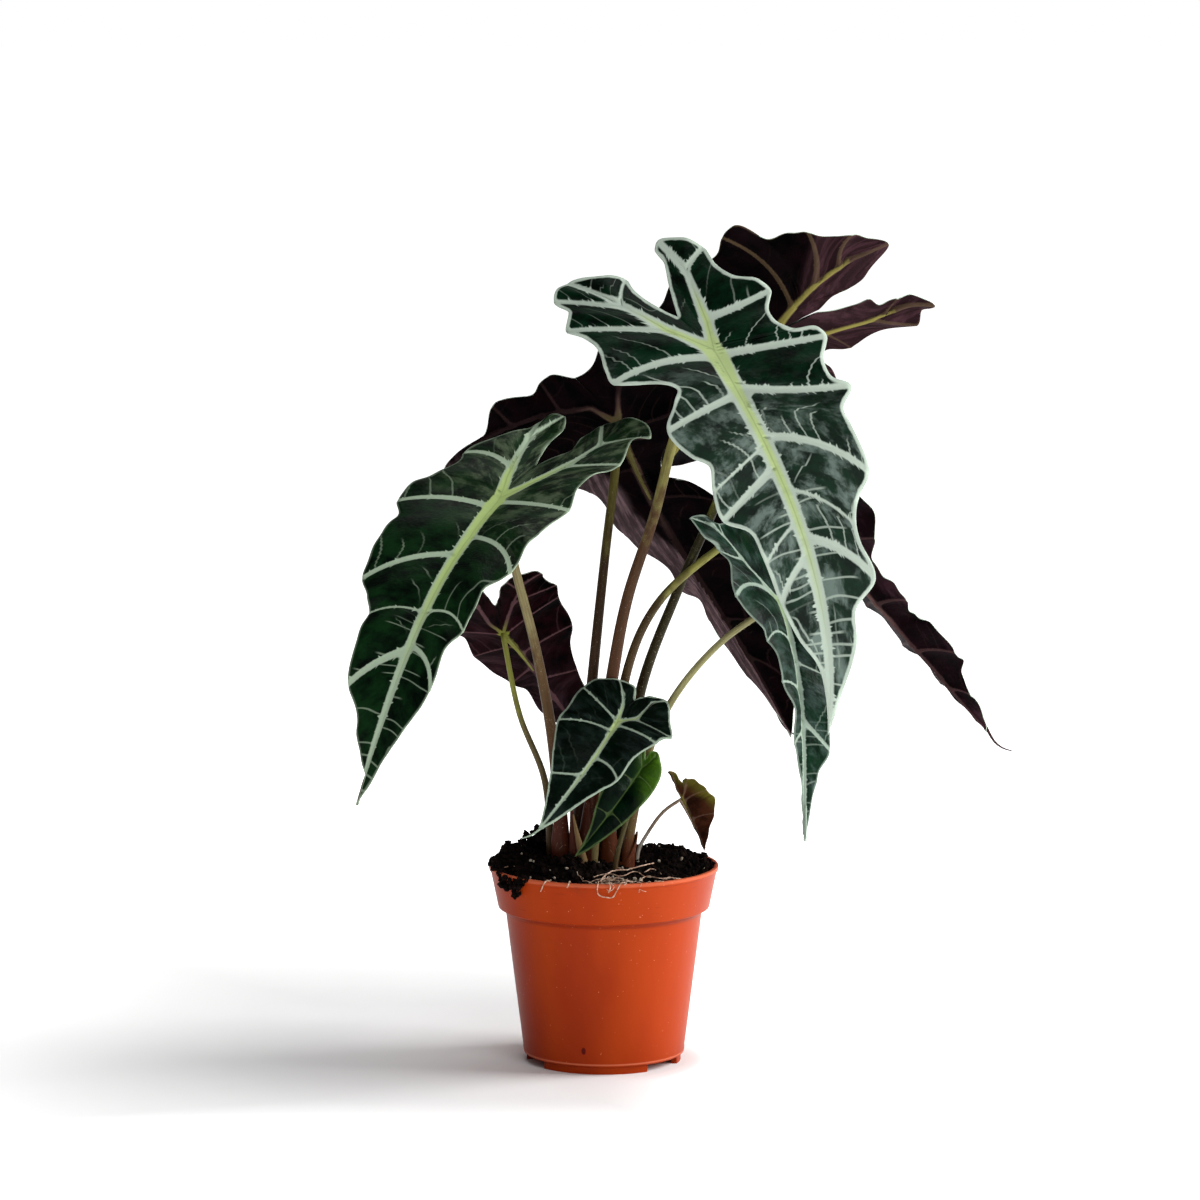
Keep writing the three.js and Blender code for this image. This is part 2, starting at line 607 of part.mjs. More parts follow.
// A blade: the same triangles on its upper and under sides, joined along the margin.
function blade(leaf) {
  const sides = ["right", "left"];
  const midribOf = (side) => marginKnots(leaf, side).filter((k) => k.station <= leaf.length);
  const values = sides.flatMap((side) => midribOf(side).map((k) => k.station));
  const snap = clustered(values, mergeStations, [0, leaf.length]);
  const midribStations = { snap, all: [...new Set([0, leaf.length, ...values.map(snap)])] };
  const ids = new Map();
  const flat = [];
  const upper = [];
  const lower = [];
  const triangles = [];
  const vertex = (x, y, lift) => {
    const key = `${Math.round(x * 500)},${Math.round(y * 500)}`;
    if (!ids.has(key)) {
      ids.set(key, flat.length);
      flat.push([x, y]);
      upper.push(inSpace(leaf, x, y, lift + bladeThickness / 2));
      lower.push(inSpace(leaf, x, y, lift - bladeThickness / 2));
    }
    return ids.get(key);
  };
  for (const side of sides) {
    const grid = columns(leaf, side, midribStations).map(({ from, x, y, lift }) =>
      steps(rows + 1).map((row) => {
        const v = row / rows;
        return vertex(from[0] + v * (x - from[0]), from[1] + v * (y - from[1]), lift * v * v);
      }),
    );
    const facing = side === "right" ? 1 : -1;
    const area = ([a, b, c]) => {
      const [[ax, ay], [bx, by], [cx, cy]] = [flat[a], flat[b], flat[c]];
      return facing * ((bx - ax) * (cy - ay) - (by - ay) * (cx - ax));
    };
    const smallest = (pair) => Math.min(...pair.map(area));
    for (let i = 1; i < grid.length; i++) {
      for (let row = 1; row <= rows; row++) {
        const [a, b, c, d] = [grid[i - 1][row - 1], grid[i - 1][row], grid[i][row], grid[i][row - 1]];
        const [one, other] = [[[a, b, c], [a, c, d]], [[a, b, d], [b, c, d]]];
        const corners = new Set([a, b, c, d]).size;
        const pair = corners < 4 || smallest(one) > smallest(other) ? one : other;
        for (const [p, q, r] of pair) {
          if (p !== q && q !== r && r !== p) triangles.push(side === "right" ? [p, q, r] : [p, r, q]);
        }
      }
    }
  }
  const count = upper.length;
  const directed = new Set(triangles.flatMap(([a, b, c]) => [`${a},${b}`, `${b},${c}`, `${c},${a}`]));
  const index = [];
  for (const [a, b, c] of triangles) {
    index.push(a, b, c, count + a, count + c, count + b);
    for (const [from, to] of [[a, b], [b, c], [c, a]]) {
      if (!directed.has(`${to},${from}`)) index.push(from, count + from, count + to, from, count + to, to);
    }
  }
  const geometry = new THREE.BufferGeometry().setFromPoints([...upper, ...lower]);
  geometry.setIndex(index);
  return geometry;
}

// A closed round tube along a smooth curve, from one radius to another.
function tube(points, radiusAt, count, sides) {
  const curve = new THREE.CatmullRomCurve3(points);
  const { normals, binormals } = curve.computeFrenetFrames(count, false);
  const positions = [];
  for (const i of steps(count + 1)) {
    const centre = curve.getPointAt(i / count);
    for (const s of steps(sides)) {
      const angle = (s / sides) * 2 * Math.PI;
      const radius = radiusAt(i / count);
      const place = centre.clone().addScaledVector(normals[i], radius * Math.cos(angle));
      positions.push(place.addScaledVector(binormals[i], radius * Math.sin(angle)));
    }
  }
  const index = [];
  const [start, finish] = [positions.length, positions.length + 1];
  positions.push(curve.getPointAt(0), curve.getPointAt(1));
  for (const s of steps(sides)) {
    const next = (s + 1) % sides;
    for (const i of steps(count)) {
      const [low, high] = [i * sides, (i + 1) * sides];
      index.push(low + s, low + next, high + next, low + s, high + next, high + s);
    }
    index.push(start, next, s, finish, count * sides + s, count * sides + next);
  }
  const geometry = new THREE.BufferGeometry().setFromPoints(positions);
  geometry.setIndex(index);
  return geometry;
}

// A petiole rises from its hole in the soil and ends just under the blade's junction.
function petiole(leaf) {
  const { foot, route, width } = leaf.petiole;
  const { origin, up } = frameAt(leaf, 0);
  const top = origin.addScaledVector(up, -bladeThickness / 2 - gap - width[1] / 2);
  const ground = soilTop(...foot);
  const points = [vector([...foot, rootedTo]), vector([...foot, ground + 4]), ...route.map(vector), top];
  const length = new THREE.CatmullRomCurve3(points).getLength();
  const swell = (t) => width[1] / 2 + ((width[0] - width[1]) / 2) * Math.max(0, 1 - t * 1.15) ** 1.6;
  return tube(points, swell, Math.max(8, Math.round(length / 16)), petioleSides);
}

const plant = new THREE.Group();
const brown = { color: 0x2a1d15, roughness: 0.95, metalness: 0 };
const terracotta = { color: 0xc4502a, roughness: 0.45, metalness: 0 };
const stalk = { color: 0x7a6a3c, roughness: 0.5, metalness: 0 };
const holes = leaves.map(({ petiole: { foot, width } }) =>
  upright(width[0] / 2 + 3 * gap, rootedTo - gap, soilEdgeHeight + 40, ...foot, 12),
);
plant.add(mesh("pot", pot(), terracotta));
plant.add(mesh("soil", soil(holes), brown));
for (const leaf of leaves) {
  plant.add(mesh(`blade_${leaf.name}`, blade(leaf), leaf.skin));
  plant.add(mesh(`petiole_${leaf.name}`, petiole(leaf), stalk));
}

export default plant;
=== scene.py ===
# %% [markdown]
# # A potted alocasia polly
# This lesson builds the looks of a small houseplant: ten arrow-shaped leaves on long stems, in a plain
# nursery pot. The solids that carry its size are already made and packed, and come in as a fixed frame.
# Each leaf, stem and clod here is a finer piece that stands for one of those solids, in the same place.
# Lengths are thought of in millimetres, as on a drawing, and turned into metres when a mesh is made.

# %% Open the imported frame
import math
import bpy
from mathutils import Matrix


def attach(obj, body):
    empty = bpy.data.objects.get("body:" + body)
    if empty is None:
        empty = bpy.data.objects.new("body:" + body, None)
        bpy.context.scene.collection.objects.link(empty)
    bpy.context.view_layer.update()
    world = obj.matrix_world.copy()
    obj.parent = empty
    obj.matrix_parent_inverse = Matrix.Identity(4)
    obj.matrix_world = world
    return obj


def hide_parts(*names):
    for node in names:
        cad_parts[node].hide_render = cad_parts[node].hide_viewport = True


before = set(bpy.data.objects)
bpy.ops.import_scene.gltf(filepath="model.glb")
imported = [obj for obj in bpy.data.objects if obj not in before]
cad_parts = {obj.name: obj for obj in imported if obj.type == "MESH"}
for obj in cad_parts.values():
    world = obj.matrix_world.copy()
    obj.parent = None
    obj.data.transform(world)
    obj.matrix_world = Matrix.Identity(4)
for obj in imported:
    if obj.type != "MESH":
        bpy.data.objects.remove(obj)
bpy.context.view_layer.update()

from types import SimpleNamespace

import bpy
import numpy as np
from mathutils import Vector, noise

bpy.ops.object.select_all(action="DESELECT")

# %% [markdown]
# ## Camera
# The plant is seen a little from above with a long lens, so its uprights stay upright. A camera could be
# aimed with a Track To constraint; here its place and tilt are typed in, because they were worked out from
# the pot: the rim shows as a thin ellipse, and its width gives the distance.

# %% Camera
PICTURE_PIXELS = 1200
FOCAL_PIXELS = 5046
SENSOR_WIDTH = 36
CAMERA_PLACE = (-0.002, -2.6, 0.574)
CAMERA_TILT = math.radians(7.265)

bpy.ops.object.camera_add(location=CAMERA_PLACE, rotation=(math.pi / 2 - CAMERA_TILT, 0, 0))
camera = bpy.context.active_object
camera.name = "photo_camera"
camera.data.sensor_width = SENSOR_WIDTH
camera.data.lens = SENSOR_WIDTH * FOCAL_PIXELS / PICTURE_PIXELS
camera.data.dof.use_dof = False
bpy.context.scene.camera = camera
bpy.context.scene.view_settings.view_transform = "Standard"
print("lens", round(camera.data.lens, 1), "mm")

# %% [markdown]
# ## Materials written as sums
# Every colour here is worked out by shader nodes. Nodes could be placed and wired by hand in the Shader
# Editor. A long pattern is easier to read as a sum, so two small helpers turn sums into nodes: a signal
# stands for one socket, and a bench adds nodes to one tree.

# %% Signals and benches
class Signal:
    """A number or colour that varies over a surface. A sign between two signals adds a Math node."""

    def __init__(self, bench, socket):
        self.bench, self.socket = bench, socket

    def __add__(self, other):
        return self.bench.maths("ADD", self, other)

    def __sub__(self, other):
        return self.bench.maths("SUBTRACT", self, other)

    def __mul__(self, other):
        return self.bench.maths("MULTIPLY", self, other)

    def __truediv__(self, other):
        return self.bench.maths("DIVIDE", self, other)

    def __neg__(self):
        return self * -1.0

    def __abs__(self):
        return self.bench.maths("ABSOLUTE", self)


class Bench:
    """A node tree and short names for the few kinds of node that these materials use."""

    def __init__(self, tree):
        self.tree = tree

    def feed(self, socket, value):
        value = getattr(value, "socket", value)
        if isinstance(value, bpy.types.NodeSocket):
            self.tree.links.new(value, socket)
        else:
            socket.default_value = value

    def add(self, kind, inputs=None, output=0, **settings):
        """Adds a node. Returns one of its outputs as a signal."""
        node = self.tree.nodes.new(kind)
        for key, value in settings.items():
            setattr(node, key, value)
        for key, value in (inputs or {}).items():
            self.feed(node.inputs[key], value)
        return Signal(self, node.outputs[output]) if node.outputs else node

    def maths(self, operation, *terms):
        return self.add("ShaderNodeMath", dict(enumerate(terms)), operation=operation)

    def ramp(self, value, low, high, start=0.0, end=1.0):
        """Value between low and high becomes start to end, easing in and out."""
        inputs = {"Value": value, "From Min": low, "From Max": high, "To Min": start, "To Max": end}
        return self.add("ShaderNodeMapRange", inputs, interpolation_type="SMOOTHSTEP")

    def blend(self, factor, a, b):
        return self.add("ShaderNodeMix", {0: factor, 6: a, 7: b}, output=2, data_type="RGBA")

    def noise(self, vector, scale, detail=2.0, roughness=0.5):
        return self.add("ShaderNodeTexNoise", {"Vector": vector, "Scale": scale, "Detail": detail,
                                               "Roughness": roughness})

    def combine(self, x, y, z):
        return self.add("ShaderNodeCombineXYZ", {0: x, 1: y, 2: z})

    def parts(self, vector, kind="ShaderNodeSeparateXYZ"):
        node = self.add(kind, {0: vector}).socket.node
        return [Signal(self, socket) for socket in node.outputs]

    def vector(self, operation, a, b=(0, 0, 0), output=0):
        return self.add("ShaderNodeVectorMath", {0: a, 1: b}, output=output, operation=operation)

    def place(self):
        return self.add("ShaderNodeTexCoord", output="Object")

    def measured(self, name):
        """The three numbers that a piece's mesh carries under this name, and the vector of them."""
        vector = self.add("ShaderNodeAttribute", output="Vector", attribute_name=name)
        return *self.parts(vector), vector

    def group(self, name, **values):
        """Places a node group. Returns its outputs; underscores in a name stand for spaces."""
        values = {key.replace("_", " "): value for key, value in values.items()}
        node = self.add("ShaderNodeGroup", values, node_tree=bpy.data.node_groups[name]).socket.node
        return SimpleNamespace(**{socket.name: Signal(self, socket) for socket in node.outputs})

    def dress(self, relief=None, distance=0.0, strength=0.0, **looks):
        """Feeds the shader's sockets, and its normal from a bump of the relief."""
        if relief:
            bump = {"Height": relief, "Distance": distance, "Strength": strength}
            looks["Normal"] = self.add("ShaderNodeBump", bump)
        for key, value in looks.items():
            self.feed(self.shader.inputs[key.replace("_", " ")], value)


def colour(red, green, blue):
    """A colour as a paint program shows it, 0 to 255, for a node that works in linear light."""
    def linear(v):
        v = v / 255
        return v / 12.92 if v <= 0.04045 else ((v + 0.055) / 1.055) ** 2.4
    return (linear(red), linear(green), linear(blue), 1.0)


def socket_kind(value):
    return "NodeSocketColor" if isinstance(value, tuple) or value == "colour" else "NodeSocketFloat"


def new_group(name, **inputs):
    """A shader node group. Its named inputs are colours where four numbers are given. Returns its bench
    and its inputs."""
    bench = Bench(bpy.data.node_groups.new(name, "ShaderNodeTree"))
    for label, default in inputs.items():
        label = label.replace("_", " ")
        socket = bench.tree.interface.new_socket(label, in_out="INPUT", socket_type=socket_kind(default))
        socket.default_value = default
    sockets = bench.add("NodeGroupInput").socket.node.outputs
    return bench, SimpleNamespace(**{label: Signal(bench, socket) for label, socket in zip(inputs, sockets)})


def close_group(bench, **outputs):
    """Gives a group its named outputs. The one called Colour is a colour, and the rest are numbers."""
    for label in outputs:
        bench.tree.interface.new_socket(label, in_out="OUTPUT", socket_type=socket_kind(label.lower()))
    bench.add("NodeGroupOutput", outputs)
    print(bench.tree.name + ":", len(bench.tree.nodes), "nodes")


def new_material(name, **plain):
    """A material with a Principled shader and these plain values on it. Returns it and its bench."""
    material = bpy.data.materials.new(name)
    material.use_nodes = True
    material.node_tree.nodes.clear()
    bench = Bench(material.node_tree)
    surface = bench.add("ShaderNodeBsdfPrincipled")
    bench.shader = surface.socket.node
    bench.add("ShaderNodeOutputMaterial", {0: surface})
    bench.dress(**plain)
    return material, bench


print("helpers ready")

# %% [markdown]
# ## Floor and lights
# White things need care. The floor has to burn out to plain white away from the pot, yet keep the soft
# shadow beside it, so its glow grows with the distance from the plant.

# %% Floor
FLOOR_SIZE = 60
UNDER_POT = (0.042, 0.062)
GLOW_LEFT, GLOW_RIGHT, GLOW_BACK, GLOW_FRONT = (-0.13, -0.6), (-0.01, 0.11), (0.12, 0.6), (-0.09, -0.25)
WHITE, BLACK = (1, 1, 1, 1), (0, 0, 0, 1)

bpy.ops.mesh.primitive_circle_add(vertices=96, radius=FLOOR_SIZE / 2, fill_type="NGON", location=(0, 0, 0))
floor = bpy.context.active_object
floor.name = "floor"
floor_paper, bench = new_material("floor_paper", Roughness=0.8, Specular_IOR_Level=0.2, Emission_Strength=1.0)
place = bench.place()
across, deep, _ = bench.parts(place)
from_axis = bench.vector("LENGTH", bench.vector("MULTIPLY", place, (1, 1, 0)), output="Value")
glow = bench.maths("MAXIMUM", bench.ramp(across, *GLOW_RIGHT), bench.ramp(deep, *GLOW_BACK))
for measure, (near, far) in ((across, GLOW_LEFT), (deep, GLOW_FRONT)):
    glow = bench.maths("MAXIMUM", glow, bench.ramp(-measure, -near, -far))
paper = bench.blend(bench.noise(place, 40.0, 3.0), colour(246, 246, 246), colour(250, 250, 250))
# The glow is painted light. It fades out near the pot's foot, so the floor there keeps a painted contact
# shade.
glow = glow * bench.ramp(from_axis, *UNDER_POT)
bench.dress(Base_Color=paper, Emission_Color=bench.blend(glow, BLACK, WHITE))
floor.data.materials.append(floor_paper)
print("floor", FLOOR_SIZE, "m across")

# %% Lights
WORLD_LIGHT = 0.14
world = bpy.data.worlds.new("studio")
bpy.context.scene.world = world
world.use_nodes = True
bench = Bench(world.node_tree)
backdrop = world.node_tree.nodes["Background"].inputs
seen = bench.add("ShaderNodeLightPath", output="Is Camera Ray")
bench.feed(backdrop["Color"], WHITE)
bench.feed(backdrop["Strength"], seen * (1.0 - WORLD_LIGHT) + WORLD_LIGHT)


def softbox(name, place, aim, size, power):
    """A square studio light at place that faces aim, in metres."""
    bpy.ops.object.light_add(type="AREA", location=place)
    light = bpy.context.active_object
    light.name = name
    light.rotation_euler = (Vector(aim) - Vector(place)).to_track_quat("-Z", "Y").to_euler()
    light.data.size = size
    light.data.energy = power


softbox("key_light", (1.6, 0.05, 0.95), (0.0, 0, 0.12), 1.1, 42)
softbox("front_light", (0.9, -2.4, 1.7), (0.03, 0, 0.2), 1.6, 26)
softbox("top_light", (0.0, 0.3, 2.2), (0.03, 0, 0.2), 1.4, 16)

# %% [markdown]
# ## How a blade is shaped
# An alocasia blade hangs from a thick midrib. Past the junction with the stalk it runs on into two back
# lobes, each with a rib of its own. Every other vein leaves one of these for the edge, and the edge swells
# out where a vein reaches it. A blade could be sculpted, or bent from a flat cut-out with curve modifiers.
# Here a flat pattern in millimetres is drawn first, as a dressmaker would, and then laid over a bent
# midrib by formula. The pattern's columns run from the midrib to the edge along the veins, so that folds,
# ridges and the paint of the veins all land on rows of vertices.

# %% The ten leaves
SIDES = {"right": 1, "left": -1}
# A margin knot is x, y and, where a vein ends there, the place on the midrib or rib that the vein leaves.
LEAVES = dict(
    front_tall=dict(
        length=214, fold=12, curl=0.0022, droop=0.0008, wave=3,
        midrib=[(56, -42, 376), (83, -78, 327), (106, -101, 264), (112, -112, 189)],
        up=[(-0.25, -0.78, 0.55), (0, -0.97, 0.1)],
        ribs=dict(right=[(4, -17), (6, -36), (8, -55)], left=[(-7, -10), (-17, -25), (-26, -43), (-34, -58)]),
        right=[(5, 198), (15, 174), (17, 159), (30, 147, 120), (27, 128), (29, 118), (34, 110), (43, 101, 62),
            (44, 78), (44, 69), (53, 59, 29), (46, 51), (47, 40), (54, 29, 4), (52, 22), (40, 16), (35, 7),
            (35, -4), (41, -14, -19), (38, -23), (27, -34), (23, -47), (22, -63, -56), (15, -74),
            (3, -85, -56), (-1, -80), (0, -70), (-4, -52), (-8, -30)],
        left=[(-5, 184), (-14, 169), (-20, 150, 129), (-23, 123), (-25, 109), (-36, 97, 79), (-35, 80),
            (-31, 66), (-37, 57), (-42, 35, 32), (-32, 22), (-27, 16), (-37, 4), (-55, -9, 6), (-55, -18),
            (-53, -30), (-56, -43), (-63, -56, -25), (-57, -63), (-61, -78, -56), (-50, -85, -67), (-32, -76),
            (-22, -69, -60), (-21, -59), (-15, -42), (-8, -30)],
        veins=dict(right=[(-0.07, 1), (-0.07, 0.9), (0.06, 1), (0.03, 1.1), (0.05, 1.1), (0, 0.9), (0, 1)],
            left=[(-0.07, 0.8), (0, 1), (0, 1.05), (-0.08, 1.1), (0, 0.8), (0, 0.7), (0, 0.8), (0.05, 0.5)]),
        thin=dict(right=[121], left=[104, 147]),
        petiole=dict(foot=(-9, -3), route=[(4, -6, 201), (12, -10, 244), (26, -19, 289), (38, -30, 336)],
            width=(9, 5))),
    front_left=dict(
        length=182, fold=14, curl=0.0022, droop=0.0008, wave=3, midrib_width=4.0, vein_width=2.1,
        thin_weight=0,
        midrib=[(-53, -38, 300), (-78, -68, 268), (-100, -88, 224), (-125, -97, 151)],
        up=[(-0.25, -0.62, 0.72), (-0.45, -0.85, 0.25)],
        ribs=dict(right=[(8, -8), (17, -19), (27, -34), (33, -49)], left=[(-5, -15), (-8, -30), (-10, -44)]),
        right=[(5, 173), (10, 161), (18, 146), (23, 132, 114), (24, 113), (28, 99, 95), (30, 85), (31, 70),
            (38, 57, 36), (39, 39), (41, 24), (45, 0, 5), (42, -15), (46, -27), (52, -39, -35), (49, -56),
            (54, -65, -60), (47, -72), (33, -72), (22, -66, -60), (17, -55), (17, -43), (4, -29)],
        left=[(0, 173), (-6, 166), (-12, 158), (-15, 151), (-25, 141, 116), (-28, 118), (-29, 105, 94),
            (-32, 97), (-41, 87, 51), (-43, 70), (-43, 53), (-42, 38), (-49, 27, 8), (-47, 12), (-38, 2),
            (-33, -14), (-36, -20, -21), (-27, -33), (-16, -47), (-13, -59, -45), (-5, -69, -45), (0, -60),
            (0, -42), (4, -29)],
        veins=dict(right=[(-0.15, 0.7), (-0.2, 0.45), (-0.16, 0.9), (0, 0.9), (0, 0.5), (0, 0.5), (0, 0.7)],
            left=[(-0.04, 1), (-0.1, 0.35), (-0.07, 1), (-0.06, 1), (-0.12, 0.8), (0, 1), (0, 0.5)]),
        thin=dict(right=[50, 112], left=[50, 112]),
        petiole=dict(foot=(-22, -4), route=[(-26, -6, 165), (-35, -14, 218), (-46, -26, 264)],
            width=(8, 4.6))),
    back_top=dict(
        length=170, fold=10, curl=0.0015, droop=0.0004, wave=3,
        midrib=[(87, 24, 379), (68, 54, 356), (51, 106, 328), (33, 160, 296)],
        up=[(0, 0.75, 0.65), (0.1, 0.6, 0.75)],
        ribs=dict(right=[(4, -23), (5, -39), (3, -62)], left=[(-10, -8), (-24, -17), (-36, -35), (-43, -50)]),
        right=[(9, 160), (25, 141, 128), (33, 117), (42, 88, 75), (46, 65), (56, 40, 31), (57, 22),
            (64, 0, 8), (55, -16), (63, -30, -19), (63, -39), (42, -43), (37, -54), (31, -61, -38), (20, -64),
            (14, -75, -56), (5, -78), (-4, -84, -62), (-10, -64), (-12, -52), (-8, -41), (-8, -28)],
        left=[(-9, 162), (-25, 150, 128), (-31, 135), (-38, 118, 85), (-40, 104), (-48, 90, 46), (-47, 70),
            (-55, 44, 8), (-45, 15), (-34, -6), (-42, -18, -28), (-48, -34), (-59, -51, -55), (-56, -58),
            (-57, -66, -68), (-45, -63), (-37, -58, -60), (-33, -49), (-25, -48), (-21, -39), (-9, -26)],
        veins=dict(right=[(-0.07, 1), (-0.07, 1), (-0.07, 1), (-0.07, 1), (-0.1, 0.9), (-0.08, 1), (0.1, 0.8),
            (0, 0.8)], left=[(-0.07, 1), (-0.07, 1), (-0.07, 1), (-0.07, 1), (0, 0.4), (0.05, 0.8), (-0.1, 1),
            (0, 0.3)]),
        petiole=dict(foot=(8, 8), route=[(19, 7, 193), (39, 6, 248), (57, 0, 290), (69, -7, 322),
            (80, 6, 353)], width=(7, 4.4))),
    back_middle=dict(
        length=208, fold=8, curl=0.0025, droop=0.0008, wave=3,
        midrib=[(7, 18, 334), (32, 44, 278), (66, 64, 222), (101, 76, 159)],
        up=[(-0.15, 0.93, 0.33), (0.35, 0.88, 0.2)],
        ribs=dict(right=[(11, -13), (35, -17), (60, -18)], left=[(-4, -15), (-12, -34), (-21, -46)]),
        right=[(2, 188), (6, 170, 160), (9, 154), (8, 133, 118), (7, 122), (12, 110, 96), (12, 96), (19, 81),
            (22, 67, 68), (25, 58), (24, 46), (28, 34, 30), (43, 26), (60, 23, 5), (67, 12), (81, 9, -33),
            (87, 0), (94, -12, -66), (80, -17), (70, -17), (66, -22), (60, -34, -60), (53, -34), (39, -30),
            (32, -37, -33), (26, -39), (14, -33)],
        left=[(-8, 196), (-15, 185, 160), (-19, 171), (-24, 155, 136), (-27, 131), (-33, 114, 98), (-31, 93),
            (-32, 72, 52), (-22, 53), (-12, 45), (-15, 32), (-26, 22), (-40, 4, 2), (-41, -9),
            (-43, -26, -30), (-38, -42), (-28, -59, -51), (-14, -55), (-3, -47, -36), (5, -36), (14, -33)],
        veins=dict(right=[(-0.07, 0.5), (-0.07, 0.6), (-0.07, 0.6), (-0.07, 0.8), (-0.07, 0.8), (-0.07, 1),
            (-0.07, 1), (0, 0.8), (0, 0.8), (0, 0.8)], left=[(-0.07, 0.6), (-0.07, 0.6), (-0.07, 0.7),
            (-0.07, 0.7), (0.1, 1), (0, 0.8), (0, 0.8), (0, 0.8)]),
        petiole=dict(foot=(-14, 6), route=[(-6, 5, 200), (1, 8, 268), (6, 13, 310)], width=(8, 4.6))),
    back_right=dict(
        length=179, fold=18, curl=0.001, droop=0.0008, wave=2.5,
        midrib=[(99, 10, 291), (136, 34, 246), (173.2, 52, 201.8), (205, 62, 165)],
        up=[(0.45, 0.45, 0.75), (0.6, 0.4, 0.7)],
        ribs=dict(right=[(10, -20), (22, -42)], left=[(-12, -22), (-24, -41)]),
        right=[(3, 168), (8, 153), (12, 138, 130), (16, 122), (22, 110, 104), (24, 96), (22, 80, 72),
            (26, 64), (36, 50, 36), (35, 33), (43, 12, 6), (38, -4), (44, -20, -22), (42, -38),
            (36, -54, -46), (24, -54), (12, -40), (0, -26)],
        left=[(-7, 166), (-11, 148, 140), (-13, 133), (-21, 124), (-23, 116, 108), (-22, 97), (-16, 90),
            (-15, 84), (-20, 75, 72), (-19, 65), (-15, 57), (-19, 45), (-32, 32, 34), (-40, 17), (-42, -6, 2),
            (-44, -24), (-48, -36, -28), (-46, -50), (-38, -60, -46), (-26, -56), (-10, -40), (0, -26)],
        petiole=dict(foot=(3, -1), route=[(12, -1, 205), (28, -2, 241), (59, 1, 269), (84, 5, 284)],
            width=(7, 4))),
    right_low=dict(
        length=125, fold=20, curl=0.002, droop=0.0008, wave=2, midrib_width=2.3, vein_width=1.3,
        midrib=[(89, -48, 248), (98, -66, 211), (101, -76, 172), (102, -82, 130)],
        up=[(0.55, -0.45, 0.6), (0.6, -0.7, 0.1)],
        ribs=dict(right=[(10, -18), (25, -32)], left=[(-22, -13), (-35, -27), (-45, -34)]),
        right=[(6, 102), (9, 92), (16, 80, 64), (16, 60), (23, 44, 33), (25, 28), (33, 15, 6), (34, 0),
            (40, -14, -24), (40, -28), (38, -42, -41), (26, -45), (16, -42), (8, -36)],
        left=[(-1, 104), (-3, 92), (-8, 77, 70), (-9, 59), (-16, 45, 48), (-19, 36), (-24, 25, 21), (-32, 19),
            (-46, 6, 0), (-44, -11), (-47, -21, -33), (-58, -25), (-61, -37, -57), (-50, -39),
            (-36, -38, -49), (-20, -44), (-4, -45), (8, -36)],
        veins=dict(right=[(0, 1), (0, 0.4), (-0.07, 0.7), (-0.07, 0.7), (0, 0.7)], left=[(-0.1, 0.6),
            (-0.1, 0.6), (-0.2, 0.5), (-0.15, 1), (0.1, 0.6), (0, 0.6), (0, 0.6)]),
        petiole=dict(foot=(12, -3), route=[(24, -2, 165), (37, -11, 194), (60, -28, 224)], width=(6, 3.4))),
    back_left_low=dict(
        length=93, fold=8, curl=0.002, droop=0.001, wave=2,
        midrib=[(-53, 14, 224), (-38, 34, 203), (-22, 50, 179), (-5, 60, 161)],
        up=[(-0.1, 0.75, 0.65), (0.1, 0.8, 0.5)],
        ribs=dict(right=[(1, -12), (-2, -30), (-5, -45)], left=[(-9, -10), (-19, -20), (-28, -28)]),
        right=[(5, 82), (9, 69), (12, 60, 53), (12, 46), (16, 37, 32), (22, 26), (23, 10, 14), (20, -6),
            (22, -19, 3), (17, -33), (8, -47, -30), (0, -57), (-9, -61, -45), (-12, -48), (-10, -33),
            (-9, -24)],
        left=[(-8, 82), (-14, 70, 66), (-17, 56), (-20, 44, 40), (-24, 30), (-33, 16, 19), (-35, 3),
            (-38, -6, 3), (-42, -16, -24), (-39, -23), (-42, -32, -38), (-34, -35), (-24, -38, -36),
            (-18, -34), (-13, -27), (-9, -24)],
        veins=dict(right=[(0, 1)] * 6, left=[(0, 1)] * 7),
        petiole=dict(foot=(-28, 5), route=[(-31, 7, 147), (-44, 9, 181)], width=(5, 2.8))),
    front_small=dict(
        length=72, fold=10, curl=0.003, droop=0.003, wave=1.2,
        midrib=[(7, -30, 183), (-5, -42, 166), (-19, -48, 148), (-34, -48, 129)],
        up=[(-0.1, -0.8, 0.6), (-0.1, -0.95, 0.3)],
        ribs=dict(right=[(9, -5), (12, -18)], left=[(-2, -11), (-5, -17)]),
        right=[(4, 62), (11, 42), (15, 34), (18, 28, 23), (19, 16), (25, 4, 2), (31, -1, -9), (27, -8),
            (18, -22, -22), (9, -22), (5, -20), (2, -17)],
        left=[(-3, 65), (-7, 57), (-14, 44, 34), (-20, 33), (-28, 15, 7), (-27, 4), (-26, -12, 0), (-20, -20),
            (-11, -25, -18), (-2, -25), (2, -17)],
        veins=dict(right=[(-0.12, 0.8), (-0.03, 0.7), (0, 0.6), (0, 0.9)], left=[(0, 0.8), (-0.1, 0.8),
            (0, 0.9), (0, 0.7)]),
        petiole=dict(foot=(-5, -12), route=[(-1, -9, 142), (3, -13, 166)], width=(4.4, 2.8))),
    young_green=dict(
        length=64, fold=12, curl=0.003, droop=0.003, wave=1,
        midrib=[(19.5, -16, 156.5), (8.5, -26, 142), (-3, -32, 128), (-15, -33, 113)],
        up=[(0.2, -0.8, 0.55), (0.2, -0.9, 0.4)],
        ribs=dict(right=[(2, -5), (3, -10)], left=[(-3, -5), (-6, -10)]),
        right=[(3, 57), (6, 46), (9, 33, 30), (11, 20), (12, 8, 5), (11, -1), (7, -8), (2, -13, -10),
            (-1, -11), (-1, -6)],
        left=[(-1, 56), (-4, 44), (-8, 34, 34), (-11, 22), (-13, 10, 8), (-13, 0), (-12, -8), (-8, -13, -11),
            (-4, -11), (-1, -6)],
